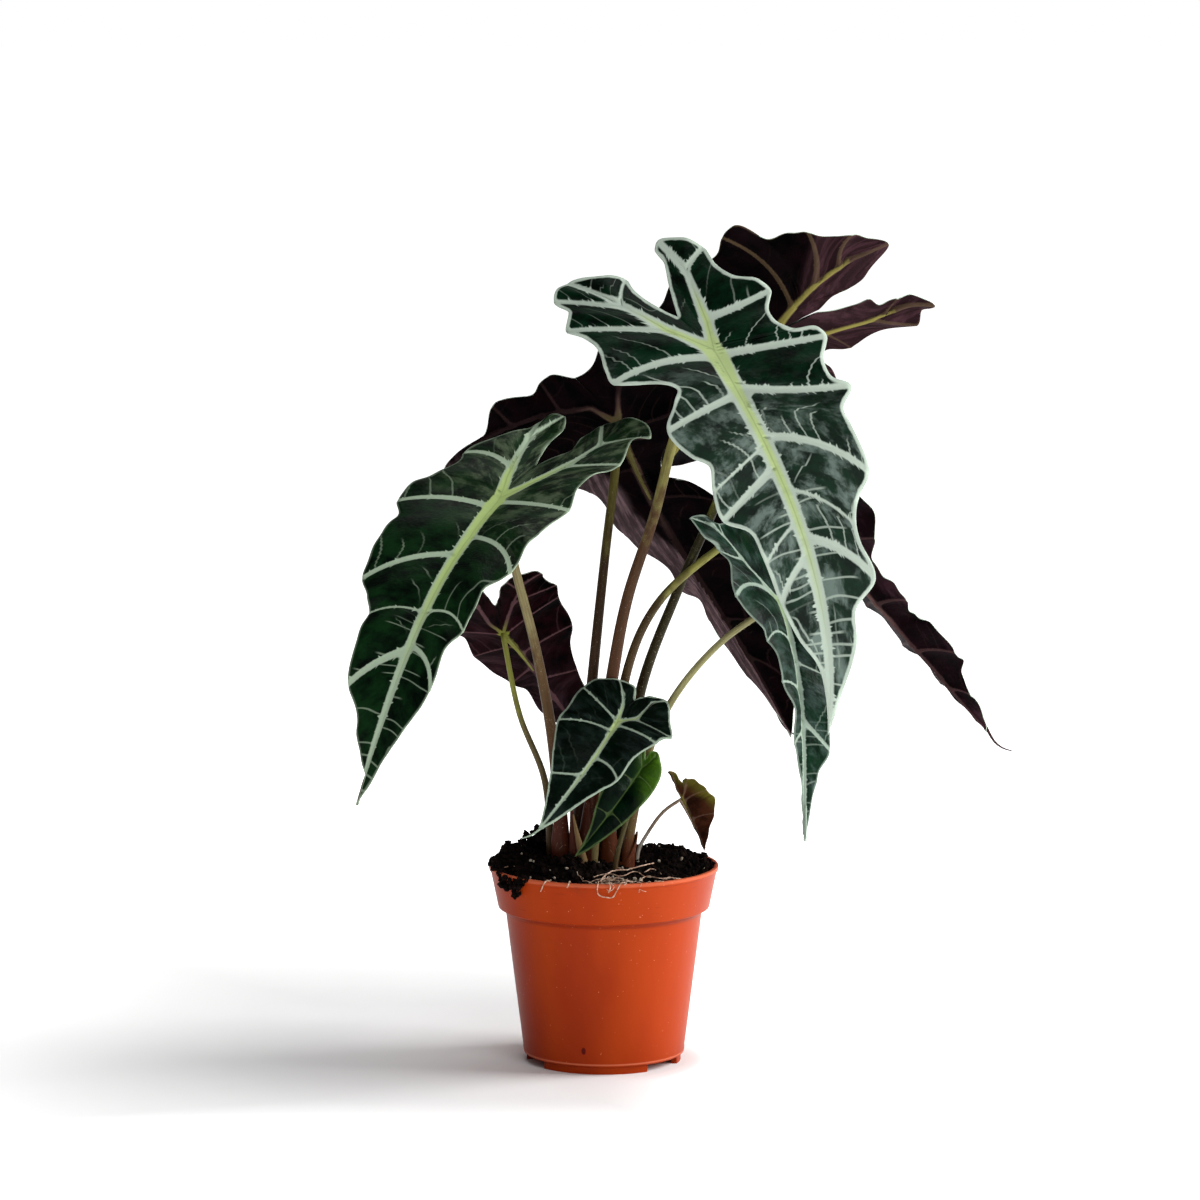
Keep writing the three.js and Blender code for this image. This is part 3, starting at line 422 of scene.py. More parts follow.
        petiole=dict(foot=(6, -14), route=[(13, -14, 133)], width=(3.6, 2.2))),
    young_red=dict(
        length=35, fold=30, curl=0, droop=0.002, wave=0.8,
        midrib=[(41, -2, 139), (46, 4, 128), (50, 8, 118), (53, 8, 109)],
        up=[(0.7, 0.65, 0.3), (0.7, 0.65, 0.2)],
        ribs=dict(right=[(0, -7), (-1, -14)], left=[(-3, -4), (-5, -8)]),
        right=[(2, 31), (6, 22), (9, 14, 14), (9, 6), (8, -2, 2), (6, -10), (-2, -20, -14), (-4, -15),
            (-4, -9)],
        left=[(-2, 31), (-7, 21), (-13, 12, 14), (-16, 4), (-15, -2, 2), (-12, -8), (-9, -12, -9), (-6, -12),
            (-4, -9)],
        petiole=dict(foot=(18, 3), route=[(22, 2, 118), (31, 0, 131)], width=(2.4, 1.8))),
)
print("leaves:", len(LEAVES), "margin knots:", sum(len(v[side]) for v in LEAVES.values() for side in SIDES))


# %% Curves through points
def unit(vectors):
    return vectors / np.linalg.norm(vectors, axis=-1, keepdims=True)


def points_at(places, knots, line):
    """Where a line of samples is at these places, when its samples stand at the knots."""
    return np.stack([np.interp(places, knots, values) for values in line.T], 1)


def cubic_through(points, t):
    """The cubic through four evenly spaced points, at t from 0 to 1."""
    t = np.asarray(t, float)[:, None]
    a, b = t - 1 / 3, t - 2 / 3
    weights = (-4.5 * a * b * (t - 1), 13.5 * t * b * (t - 1), -13.5 * t * a * (t - 1), 4.5 * t * a * b)
    return sum(w * np.array(p, float) for w, p in zip(weights, points))


def smooth_path(points, step):
    """A smooth curve through the points. Returns its samples and the place of each among the points."""
    points = np.array(points, float)
    spans = np.sqrt(np.linalg.norm(np.diff(points, axis=0), axis=1))
    slopes = np.diff(points, axis=0) / spans[:, None]
    double = (points[2:] - points[:-2]) / (spans[1:] + spans[:-1])[:, None]
    tangents = np.concatenate([slopes[:1], slopes[1:] + slopes[:-1] - double, slopes[-1:]])
    samples, orders = [points[:1]], [np.zeros(1)]
    for i, span in enumerate(spans):
        count = max(2, int(np.ceil(span * span / step)))
        u = (np.arange(count)[:, None] + 1) / count
        cube, square = u ** 3, u ** 2
        samples.append(
            (2 * cube - 3 * square + 1) * points[i] + (3 * square - 2 * cube) * points[i + 1]
            + (cube - 2 * square + u) * span * tangents[i] + (cube - square) * span * tangents[i + 1])
        orders.append(i + u[:, 0])
    return np.concatenate(samples), np.concatenate(orders)


def lengths_along(samples):
    return np.concatenate([[0], np.cumsum(np.linalg.norm(np.diff(samples, axis=0), axis=1))])


def nearest_on(points, line):
    """How far each point is from a line of samples, and which way along that line, 0 to 1, it is nearest."""
    starts, steps = line[:-1], np.diff(line, axis=0)
    along = lengths_along(line)
    square = np.maximum((steps ** 2).sum(1), 1e-9)
    best, place = np.full(len(points), 1e9), np.zeros(len(points))
    for start, step, size, done, ahead in zip(starts, steps, square, along[:-1], along[1:]):
        u = np.clip(((points - start) @ step) / size, 0, 1)
        d = np.linalg.norm(points - start - u[:, None] * step, axis=1)
        closer = d < best
        best[closer] = d[closer]
        place[closer] = ((done + u * (ahead - done)) / max(along[-1], 1e-6))[closer]
    return best, place


print("a test path of", len(smooth_path([(0, 0), (10, 5), (20, 0)], 1.0)[0]), "samples")


# %% From the flat pattern to its place in space
def frame_at(leaf, t):
    """The midrib's point, direction, upper normal and crosswise direction at t."""
    along = unit(cubic_through(leaf["midrib"], t + 1e-4) - cubic_through(leaf["midrib"], t - 1e-4))
    first, last = (unit(np.array(v, float)) for v in leaf["up"])
    up = first + (last - first) * np.minimum(t, 1)[:, None]
    up = unit(up - (up * along).sum(1, keepdims=True) * along)
    return cubic_through(leaf["midrib"], t), along, up, np.cross(up, along)


def in_space(leaf, x, y, lift):
    """Where places of the flat pattern come to lie once the blade is folded and bent."""
    origin, along, up, across = frame_at(leaf, np.maximum(y, 0) / leaf["length"])
    back = np.minimum(y, 0)
    fold = math.radians(leaf["fold"])
    rise = np.abs(x) * math.sin(fold) - leaf["curl"] * x * x - leaf["droop"] * back * back + lift
    return origin + along * back[:, None] + across * (x * math.cos(fold))[:, None] + up * rise[:, None]


def lobe_rib(leaf, side):
    return np.array([(0, 0)] + leaf["ribs"][side], float)


def margin_knots(leaf, side):
    """The edge's knots, the station of the spine each is joined to, and which of them end a vein."""
    rib = lobe_rib(leaf, side)
    end = lengths_along(rib)[-1]
    points = [(0, leaf["length"], leaf["length"])] + leaf[side][:-1] + [(*leaf[side][-1][:2], 0)]
    starts = [p[2] if len(p) > 2 else None for p in points]
    deepest = min(s for s in starts if s is not None)
    lobe_tip = max(i for i, s in enumerate(starts) if s == deepest)
    known, stations = [], []
    for i, start in enumerate(starts):
        if start is not None:
            reach = -end if start == deepest else max(start, -end)
            known.append(i)
            stations.append(leaf["length"] - reach if i <= lobe_tip else leaf["length"] + 2 * end + reach)
    knots = np.array([p[:2] for p in points], float)
    chords = lengths_along(knots)
    return knots, np.interp(chords, chords[known], stations), known[1:-1], rib


def on_spine(leaf, rib, stations):
    """Down the midrib, out along the lobe's rib and back to the junction."""
    reach = lengths_along(rib)
    past = stations - leaf["length"]
    out = np.clip(np.minimum(past, 2 * reach[-1] - past), 0, reach[-1])
    return np.where(past[:, None] <= 0, np.stack([0 * past, -past], 1), points_at(out, reach, rib))


tall = LEAVES["front_tall"]
print("front_tall tip at", in_space(tall, np.zeros(1), np.array([tall["length"]]), 0.0).round(1))

# %% One half of a blade
MARGIN_STEP = 1.6
EDGE_STEP = 0.3
SPINE_STEP = 2.2
BLADE_ROWS = 24
PLAIN_VEIN = (-0.07, 1)


def spine_lattice(leaf, rib):
    """The stations at which columns leave the spine, the same for both halves of a blade."""
    end = lengths_along(rib)[-1]
    length = leaf["length"]
    down = np.linspace(0, length, round(length / SPINE_STEP) + 1)
    out = np.linspace(0, end, round(end / SPINE_STEP) + 1)
    return np.unique(np.round(np.concatenate([down, length + out, length + 2 * end - out]), 5))


def vein_styles(leaf, side, count):
    """The bend of each side vein as a share of its length, towards the tip, and its relative width."""
    return leaf.get("veins", {}).get(side, [PLAIN_VEIN] * count)


def half_pattern(leaf, side):
    """The columns of one half: pattern places, and each column's bend, phase and station."""
    knots, stations, veins, rib = margin_knots(leaf, side)
    edge, orders = smooth_path(knots, EDGE_STEP)
    numbers = np.arange(len(knots))
    arc = lengths_along(edge)
    chosen = np.interp(np.linspace(0, arc[-1], round(arc[-1] / MARGIN_STEP) + 1), arc, orders)
    ends = np.array([0, *veins, len(knots) - 1], float)
    thin = [float(np.interp(s, stations, numbers)) for s in leaf.get("thin", {}).get(side, [])]
    fixed = np.concatenate([ends, thin])
    room = np.abs(chosen[:, None] - fixed[None]).min(1) * (arc[-1] / orders[-1]) > 0.45 * MARGIN_STEP
    chosen = np.concatenate([chosen[room], fixed])
    lattice = spine_lattice(leaf, rib)
    snapped = lattice[np.abs(np.interp(chosen, numbers, stations)[:, None] - lattice).argmin(1)]
    missing = np.setdiff1d(lattice, snapped)
    chosen = np.concatenate([chosen, np.interp(missing, np.interp(orders, numbers, stations), orders)])
    snapped = np.concatenate([snapped, missing])
    turn = np.lexsort((snapped, chosen))
    chosen, snapped = chosen[turn], np.maximum.accumulate(snapped[turn])
    margin = points_at(chosen, orders, edge)
    root = on_spine(leaf, rib, snapped)
    bends = [bend for bend, _ in vein_styles(leaf, side, len(veins))]
    bend = np.interp(chosen, ends, [0.0, *bends, 0.0])
    after = np.searchsorted(veins, chosen, side="right")
    inside = (after > 0) & (after < len(veins))
    low, high = (np.array(veins)[np.clip(k, 0, len(veins) - 1)] for k in (after - 1, after))
    phase = np.where(inside, (chosen - low) / np.maximum(high - low, 1), 0)
    zone = np.interp(chosen, ends, np.arange(len(ends)))
    return dict(root=root, margin=margin, bend=bend, phase=phase, station=snapped, edge=edge, orders=chosen,
                veins=veins, thin=thin, zone=zone)


def half_grid(half, sign):
    """Pattern places of every vertex, columns by rows, along curved columns."""
    v = np.linspace(0, 1, BLADE_ROWS + 1)[None, :, None]
    run = (half["margin"] - half["root"])[:, None]
    over = sign * np.stack([-run[..., 1], run[..., 0]], -1)
    return half["root"][:, None] + run * v + over * half["bend"][:, None, None] * 4 * v * (1 - v)


trial = half_pattern(tall, "right")
print("columns in half of front_tall:", len(trial["orders"]))

# %% Sheets and pieces
MM = 0.001
WELD_DISTANCE = 0.02


def pick(*pieces):
    """Selects these pieces and no others. The first of them becomes the active one."""
    if bpy.context.object and bpy.context.object.mode != "OBJECT":
        bpy.ops.object.mode_set(mode="OBJECT")
    bpy.ops.object.select_all(action="DESELECT")
    for piece in pieces:
        piece.select_set(True)
    if pieces:
        bpy.context.view_layer.objects.active = pieces[0]


def sheet(places):
    """A grid whose vertices go to places: an array of columns by rows by x, y, z in millimetres."""
    pick()
    columns, rows = places.shape[:2]
    bpy.ops.mesh.primitive_grid_add(x_subdivisions=columns - 1, y_subdivisions=rows - 1, size=1)
    piece = bpy.context.active_object
    piece.data.vertices.foreach_set("co", (places.transpose(1, 0, 2) * MM).ravel())
    piece.data.update()
    return piece


def carry(piece, name, values):
    """Stores three numbers a vertex under this name, in the sheet's own order of vertices."""
    layer = piece.data.attributes.new(name, "FLOAT_VECTOR", "POINT")
    layer.data.foreach_set("vector", np.ascontiguousarray(values.transpose(1, 0, 2)).ravel())


def carried(piece, name="position"):
    """The three numbers that every vertex carries under this name. Its position is in metres."""
    flat = np.empty(len(piece.data.vertices) * 3)
    piece.data.attributes[name].data.foreach_get("vector", flat)
    return flat.reshape(-1, 3)


def joined(pieces):
    pick(*pieces)
    if len(pieces) > 1:
        bpy.ops.object.join()
    return pieces[0]


def welded(piece, outwards=False):
    """Merges vertices that lie together, and may turn all faces outwards."""
    pick(piece)
    bpy.ops.object.mode_set(mode="EDIT")
    bpy.ops.mesh.select_all(action="SELECT")
    bpy.ops.mesh.remove_doubles(threshold=WELD_DISTANCE * MM)
    if outwards:
        bpy.ops.mesh.normals_make_consistent(inside=False)
    bpy.ops.object.mode_set(mode="OBJECT")
    return piece


def modified(piece, kind, **settings):
    """Adds a modifier with these settings to a piece and applies it."""
    pick(piece)
    modifier = piece.modifiers.new(kind.lower(), kind)
    for key, value in settings.items():
        setattr(modifier, key, value)
    bpy.ops.object.modifier_apply(modifier=modifier.name)
    return piece


def copied(model):
    twin = model.copy()
    twin.data = model.data.copy()
    bpy.context.collection.objects.link(twin)
    return twin


def finish_piece(piece, name, slot, *nodes, smooth=True):
    """Names a piece, smooths it, hangs it on the root body and hides the nodes it stands for. The slot is not
    used.
    """
    piece.name = name
    piece.data.name = name
    if smooth:
        piece.data.polygons.foreach_set("use_smooth", [True] * len(piece.data.polygons))
    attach(piece, "root")
    if nodes:
        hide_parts(*nodes)
    pick()


def triangles(piece):
    piece.data.calc_loop_triangles()
    return len(piece.data.loop_triangles)


print("a sheet has", len(sheet(np.zeros((5, 4, 3))).data.vertices), "vertices")
bpy.ops.object.delete()

# %% [markdown]
# ## Blades
# A real blade is a thin, stiff, quilted sheet: the veins lie a little below the green between them, and
# stand out underneath as ridges. The two halves are made as sheets, joined and welded down the midrib.
# A Solidify modifier gives the thickness, less of it towards the edge. Then the underside's vertices are
# pushed out along the ribs. While the sheet is still flat in its pattern, distances to the ribs, veins and
# edge are easy to measure, so each vertex stores them for the paint that comes later.

# %% Vein widths and relief
BLADE_THICKNESS = 0.9
THINNED_EDGE, THIN_LEVELS = 6, 10
QUILT, RUFFLE = 1.1, 0.5
RIB_RIDGE, VEIN_RIDGE = 1.5, 0.7
THIN_VEIN = 0.35
FAR_AWAY = 1e3


def grown_size(leaf, power):
    """The leaf's size beside the largest one's. A power below 1 keeps small leaves' features sturdy."""
    return (leaf["length"] / LEAVES["front_tall"]["length"]) ** power


def vein_width(leaf):
    """Half the width of the midrib at the junction, and of a vein where it starts, by the leaf's size."""
    size = grown_size(leaf, 0.75)
    return leaf.get("midrib_width", 5.0 * size), leaf.get("vein_width", 2.4 * size)


def rib_field(leaf, x, y):
    """How far from the midrib or a lobe's rib, half the width of it there, and how near the junction."""
    wide, _ = vein_width(leaf)
    far = np.maximum(y, 0) / leaf["length"]
    distance = np.where(y > leaf["length"], FAR_AWAY, np.hypot(x, np.minimum(y, 0)))
    width = wide * np.maximum(1 - far, 0.001) ** 0.4
    glow = 1 - far
    for side in SIDES:
        d, place = nearest_on(np.stack([x, y], 1), lobe_rib(leaf, side))
        closer = d < distance
        distance = np.where(closer, d, distance)
        width = np.where(closer, wide * (0.85 - 0.5 * place), width)
        glow = np.where(closer, 1 - place, glow)
    return distance, width, glow


def vein_curves(leaf):
    """Every side vein of the leaf as a line in the pattern, with half its width at both ends."""
    _, wide = vein_width(leaf)
    curves = []
    for side, sign in SIDES.items():
        half = half_pattern(leaf, side)
        grid = half_grid(half, sign)
        weights = [weight for _, weight in vein_styles(leaf, side, len(half["veins"]))]
        weights += [leaf.get("thin_weight", THIN_VEIN)] * len(half["thin"])
        for order, weight in zip([*half["veins"], *half["thin"]], weights):
            if weight:
                column = int(np.abs(half["orders"] - order).argmin())
                curves.append((grid[column], wide * weight, wide * weight * 0.68))
    return curves


def vein_field(curves, x, y):
    """How far from the nearest side vein, half the width of it there, and how far along it."""
    distance, width, place = np.full(len(x), FAR_AWAY), np.ones(len(x)), np.zeros(len(x))
    for line, start, end in curves:
        d, along = nearest_on(np.stack([x, y], 1), line)
        w = start + (end - start) * along
        closer = d - w < distance - width
        distance[closer], width[closer], place[closer] = d[closer], w[closer], along[closer]
    return distance, width, place


print("midrib and vein half-widths of front_tall:", [round(v, 2) for v in vein_width(tall)])


# %% Build a blade
COLUMN_MEASURES = ("phase", "zone", "station", "orders")


def blade(leaf):
    """The leaf's sheet, both halves in one, with its measures on the vertices."""
    curves = vein_curves(leaf)
    halves = []
    for side, sign in SIDES.items():
        half = half_pattern(leaf, side)
        grid = half_grid(half, sign)
        shape = grid.shape[:2]
        x, y = grid.reshape(-1, 2).T

        def spread(values):
            return np.broadcast_to(values, shape).ravel()

        v = spread(np.linspace(0, 1, BLADE_ROWS + 1))
        phase, zone, station, order = (spread(half[key][:, None]) for key in COLUMN_MEASURES)
        swell = np.sin(np.pi * phase) ** 2
        rib, rib_width, glow = rib_field(leaf, x, y)
        vein, width, along = vein_field(curves, x, y)
        margin = nearest_on(np.stack([x, y], 1), half["edge"])[0]
        run = spread(np.linalg.norm(half["margin"] - half["root"], axis=1)[:, None]) * v
        sunk = 0.5 * np.exp(-(vein / width) ** 2) + 0.6 * np.exp(-(rib / rib_width) ** 2)
        quilt = QUILT * swell * np.sin(np.pi * v) ** 0.8 - sunk * grown_size(leaf, 0.5)
        lift = leaf["wave"] * (swell - 0.5) * v ** 2 + quilt + RUFFLE * np.sin(order * 5.1) * v ** 6
        turn = -1 if side == "right" else 1
        piece = sheet(in_space(leaf, x, y, lift).reshape(*shape, 3)[::turn])
        measures = dict(rib=(rib, rib_width, glow), vein=(vein, width, along), net=(run, zone, margin),
                        flat=(x, y, station))
        for label, parts in measures.items():
            carry(piece, label, np.stack(parts, 1).reshape(*shape, 3)[::turn])
        halves.append(piece)
    return welded(joined(halves))


def thicken(piece, leaf):
    """Gives the sheet its thickness, thinner at the edge, and ridges along the ribs underneath."""
    count = len(piece.data.vertices)
    levels = np.round(np.clip(carried(piece, "net")[:, 2] / THINNED_EDGE, 0, 1) * THIN_LEVELS)
    group = piece.vertex_groups.new(name="thickness")
    for level in range(THIN_LEVELS + 1):
        group.add(np.nonzero(levels == level)[0].tolist(), 0.5 + 0.5 * level / THIN_LEVELS, "REPLACE")
    for _ in range(2):
        piece.data.materials.append(None)
    modified(piece, "SOLIDIFY", thickness=BLADE_THICKNESS * MM, offset=0, vertex_group=group.name,
             material_offset=1)
    piece.vertex_groups.clear()
    lower = slice(count, 2 * count)
    rib, rib_width, glow = carried(piece, "rib")[lower].T
    vein, width, along = carried(piece, "vein")[lower].T
    ridge = RIB_RIDGE * np.sqrt(np.clip(1 - (rib / (0.75 * rib_width)) ** 2, 0, 1)) * (0.4 + 0.6 * glow)
    small = VEIN_RIDGE * np.sqrt(np.clip(1 - (vein / (0.8 * width)) ** 2, 0, 1)) * (1 - 0.7 * along)
    places = carried(piece)
    down = unit(places[lower] - places[:count])
    places[lower] += down * np.maximum(ridge, small)[:, None] * grown_size(leaf, 0.75) * MM
    piece.data.vertices.foreach_set("co", places.ravel())
    piece.data.update()
    return piece


blades = {}
for name, leaf in LEAVES.items():
    blades[name] = thicken(blade(leaf), leaf)
    print(name, "blade:", triangles(blades[name]), "triangles")

# %% [markdown]
# ## Leaf stalks
# Each blade stands on a petiole, a smooth round stalk that is thickest at its sheathed foot. A curve with a
# bevel would give a tube too. A sheet rolled round the stalk's path is used here, because its columns and
# rows are then the stalk's own directions, for the fine streaks of the paint. Past the junction the stalk
# runs on under the midrib and thins into it, as the real one does.

# %% Heights of the soil
SOIL_EDGE = 100
POT_INNER_RADIUS = 56.4
CLODS = (((-30, 22), 9, 20), ((4, 18), 8, 24), ((30, 16), 4, 18), ((-38, -12), 6, 15), ((-8, -30), 3, 16),
         ((27, -24), 2, 12))
MOUNDS = (((-34, 24), 7, 14), ((-49, 5), 6, 10), ((2, 46), 4, 14), ((37, 32), 4, 13), ((-22, 44), 4, 12),
          ((-40, -12), 2, 12), ((48, 4), 2, 12), ((-20, -18), 6, 12), ((-2, -16), 3, 10))


def heaped(heaps, x, y):
    """The height of rounded heaps, each a centre, a height and a reach, at a place."""
    return sum(h * np.exp(-(((x - cx) ** 2 + (y - cy) ** 2) / reach ** 2)) for (cx, cy), h, reach in heaps)


def soil_height(x, y):
    """The soil's top, in millimetres: a flat level with a few clods heaped on it."""
    lumps = 0.7 * np.sin(x * 0.31 + y * 0.17) * np.cos(y * 0.29 - x * 0.11)
    edge = np.minimum(1, (POT_INNER_RADIUS - np.hypot(x, y)) / 9)
    return SOIL_EDGE + heaped(CLODS, x, y) * (0.35 + 0.65 * edge) + lumps


def mound_height(x, y):
    """What the loose peat adds to the soil's top, in millimetres."""
    return heaped(MOUNDS, x, y) * np.clip((POT_INNER_RADIUS + 1.5 - np.hypot(x, y)) / 5, 0, 1)


print("soil by the tall leaf's foot:", round(float(soil_height(-9, -3)), 1), "mm up")

# %% Build a stalk
STALK_SIDES = 20
STALK_STEP = 3.0
ROOTED_TO, STRAIGHT_ABOVE_SOIL = 84, 4
JUNCTION_GAP, TAIL_GAP = 0.3, 0.7
TAIL_PLACES = np.array([4, 10, 18, 28, 40, 54])


def carried_frames(path):
    """Two directions across a path at each sample, turned as little as possible from one to the next."""
    along = unit(np.gradient(path, axis=0))
    across = np.zeros_like(path)
    across[0] = unit(np.cross(along[0], [0.0, 1.0, 0.0]))
    for i in range(1, len(path)):
        kept = across[i - 1] - along[i] * (across[i - 1] @ along[i])
        across[i] = kept / np.linalg.norm(kept)
    return across, np.cross(along, across)


def rolled(path, radii, sides):
    """A closed tube: a sheet rolled round the path, with both ends drawn to a point."""
    across, over = carried_frames(path)
    angle = np.linspace(0, 2 * np.pi, sides + 1)[:, None, None]
    ring = path[None] + radii[None, :, None] * (across[None] * np.cos(angle) + over[None] * np.sin(angle))
    ends = [np.repeat(p[None, None], sides + 1, axis=0) for p in (path[0], path[-1])]
    return np.concatenate([ends[0], ring, ends[1]], 1)


def stalk(leaf):
    """The stalk from the pot's middle to the junction, and its tail under the midrib."""
    foot, route, (low, high) = (leaf["petiole"][key] for key in ("foot", "route", "width"))
    origin, _, up, _ = (part[0] for part in frame_at(leaf, np.zeros(1)))
    top = origin - up * (BLADE_THICKNESS / 2 + JUNCTION_GAP + high / 2)
    points = [(*foot, ROOTED_TO), (*foot, soil_height(*foot) + STRAIGHT_ABOVE_SOIL), *route, top]
    path, _ = smooth_path(points, STALK_STEP)
    reach = lengths_along(path)
    radii = high / 2 + (low - high) / 2 * np.maximum(0, 1 - reach / reach[-1] * 1.15) ** 1.6
    under = TAIL_PLACES * grown_size(leaf, 0.6)
    centre, _, normal, _ = frame_at(leaf, under / leaf["length"])
    slim = high / 2 * np.linspace(0.92, 0.3, len(under))
    tail = centre - normal * (BLADE_THICKNESS / 2 + TAIL_GAP + slim)[:, None]
    path, radii = np.concatenate([path, tail]), np.concatenate([radii, slim])
    places = rolled(path, radii, STALK_SIDES)
    piece = sheet(places)
    whole = lengths_along(path)
    along = np.concatenate([[0], whole, whole[-1:]])
    field = np.zeros(places.shape)
    field[..., 0] = np.linspace(0, np.pi * high, STALK_SIDES + 1)[:, None]
    field[..., 1] = along
    field[..., 2] = np.clip(along / reach[-1], 0, 1)
    carry(piece, "stalk", field)
    return welded(piece, outwards=True)


SHEATH_SIDES, SHEATH_ROWS, SHEATH_THICKNESS = 24, 12, 0.6
SHEATH_BOTTOM, SHEATH_BEND = 96.0, 106.0
SHEATHS = dict(front_left=(46, 10.5, 2.0), back_middle=(40, 11, 4.0), front_tall=(46, 12, 0.5),
               back_right=(36, 11, 1.0), right_low=(26, 8.5, 3.4))


def sheath(leaf, height, width, facing):
    """A dry papery shell round the foot of a stalk, cut off at a slant, taller on the side it faces."""
    foot, route = leaf["petiole"]["foot"], leaf["petiole"]["route"]
    path, _ = smooth_path([(*foot, SHEATH_BOTTOM), (*foot, SHEATH_BEND), route[0]], 2.0)
    reach, frames = lengths_along(path), carried_frames(path)
    rows = []
    for turn in np.linspace(0, 2 * np.pi, SHEATH_SIDES + 1):
        lean = 0.5 + 0.5 * math.cos(turn - facing)
        along = np.linspace(0, height * (0.35 + 0.65 * lean ** 2), SHEATH_ROWS)
        centre, side, up = (points_at(along, reach, line) for line in (path, *frames))
        radius = width / 2 * (0.92 - 0.2 * (along / height) ** 2) + 0.2 * math.sin(turn * 5)
        rows.append(centre + radius[:, None] * (side * math.cos(turn) + up * math.sin(turn)))
    piece = sheet(np.array(rows))
    field = np.zeros((SHEATH_SIDES + 1, SHEATH_ROWS, 3))
    field[..., 0] = np.linspace(0, 9, SHEATH_SIDES + 1)[:, None]
    field[..., 1] = np.linspace(0, height, SHEATH_ROWS)
    carry(piece, "stalk", field)
    return modified(welded(piece), "SOLIDIFY", thickness=SHEATH_THICKNESS * MM, offset=0)


stalks = {name: stalk(leaf) for name, leaf in LEAVES.items()}
for name, sizes in SHEATHS.items():
    stalks[name] = joined([stalks[name], sheath(LEAVES[name], *sizes)])
print("stalks:", sum(triangles(piece) for piece in stalks.values()), "triangles")

# %% [markdown]
# ## Soil
# Potting soil is dark crumbs with lumps, pale grains of perlite and some roots at the top. Displacing a
# plane with a texture is one way. Here a round sheet takes the height of the clods by formula with small
# noise on top, and crumbs modelled once are copied over it.

# %% Soil body
SOIL_LEVELS = ((0.0, 6.3), (41.0, 6.3), (49.2, 77.0), (53.2, 81.5))
SETTLED = 0.8
SOIL_TOP_RADIUS, SOIL_RINGS = 56.0, 45
SOIL_ANGLES = np.linspace(0, 2 * np.pi, 181)
SOIL_ROUGHNESS = ((1.1, 0.28, 3), (0.8, 0.7, 9), (0.4, 1.9, 5))


def noisy(points, scale, seed):
    """Smooth noise from -1 to 1 at each point."""
    return np.array([noise.noise(Vector(p) * scale + Vector((seed, 0, 0))) for p in points])


def soil_ring(radius, height=None):
    """A ring of places round the pot's axis, at this height or else on the soil's top."""
    x, y = radius * np.cos(SOIL_ANGLES), radius * np.sin(SOIL_ANGLES)
    return np.stack([x, y, soil_height(x, y) if height is None else np.full(len(x), height)], 1)


soil_rows = [soil_ring(*level) for level in SOIL_LEVELS]
soil_rows += [soil_ring(SOIL_TOP_RADIUS * share) for share in np.linspace(1, 0, SOIL_RINGS + 1)]
soil_places = np.stack(soil_rows, 1)
top = soil_places[:, len(SOIL_LEVELS):]
level_places = (top * (1, 1, 0)).reshape(-1, 3)
rough = sum(size * noisy(level_places, scale, seed) for size, scale, seed in SOIL_ROUGHNESS)
top[..., 2] += rough.reshape(top.shape[:2]) - SETTLED + mound_height(top[..., 0], top[..., 1])
soil = welded(sheet(soil_places), outwards=True)
print("soil:", triangles(soil), "triangles")

# %% [markdown]
# ## Leaf paint
# The top of a blade is nearly black green with pale silver-green veins. Barbs fray the veins' edges, and
# thin twigs arc from them to the margin. An image texture would be the usual way; here the paint is worked
# out from the distances that each vertex carries, so that it lies exactly on the modelled ribs. One node
# group draws the lines for all leaves, another the mottled green or burgundy with painted sheen, lighter
# patches where light catches the blade, and each leaf sets its own values. Distances are joined by a
# smooth minimum, which rounds the corners where two lines meet.

# %% Vein lines group
bench, given = new_group(
    "vein_lines", Barbs=1.5, Margin=1.6, Spacing=8.0, Curl=30.0, Twigs=0.6, Rungs=0.5, Rungs_From=60.0,
    Rung_Width=0.7, Faint_Margin=0.0, Widen=1.0, Softness=0.35, Join=3.5, Core_Width=0.3,
    Core_Reach=0.5, Seed=0.0)
rib, rib_width, glow, _ = bench.measured("rib")
vein, vein_wide, _, _ = bench.measured("vein")
run, zone, margin, _ = bench.measured("net")
x, y, station, flat = bench.measured("flat")
phase = bench.maths("FRACT", zone)
shift = bench.maths("SIGN", x) * 41.0 + given.Seed * 37.0


def frayed(distance, width, along, size):
    """The distance outside a line of this half-width, less where a barb leans out of it."""
    leaning = along - distance * 0.7
    spike = bench.ramp(bench.noise(bench.combine(leaning, shift, 0.0), 0.5, 1.0), 0.54, 0.74)
    return distance - width * given.Widen - spike * given.Barbs * size


def threads(field, spacing, width, seed):
    """Thin lines where the field passes a multiple of the spacing, and two random numbers for each."""
    turn = field / spacing
    number = bench.maths("ROUND", turn)
    line = bench.ramp(abs(turn - number) * spacing / width, 0.35, 1.25, 1.0, 0.0)
    spot = bench.combine(number, seed, bench.maths("FLOOR", zone))
    dice = bench.add("ShaderNodeTexWhiteNoise", {"Vector": spot}, output="Color", noise_dimensions="3D")
    return line, *bench.parts(dice, "ShaderNodeSeparateColor")[:2]


edge_rag = bench.noise(flat, 0.13, 2.0) * 1.2 - 0.6
on_edge = margin - given.Margin + edge_rag
on_rib, on_vein = frayed(rib, rib_width, station, 1.0), frayed(vein, vein_wide, run, 0.8)
both = bench.maths("SMOOTH_MIN", on_rib, on_vein, given.Join)
nearest = bench.maths("SMOOTH_MIN", both, on_edge, given.Join * 0.5)
nearest = nearest + bench.noise(flat, 0.7, 2.0) * 0.45 - 0.225
lines = bench.ramp(nearest, -given.Softness, given.Softness, 1.0, 0.0)

core_share = rib / bench.maths("MAXIMUM", rib_width, 0.3) - bench.ramp(glow, 0.8, 1.0) * 0.55
core = bench.ramp(core_share, given.Core_Width - 0.25, given.Core_Width + 0.3, 1.0, 0.0)
core = core * bench.ramp(glow, given.Core_Reach - 0.3, given.Core_Reach + 0.2)

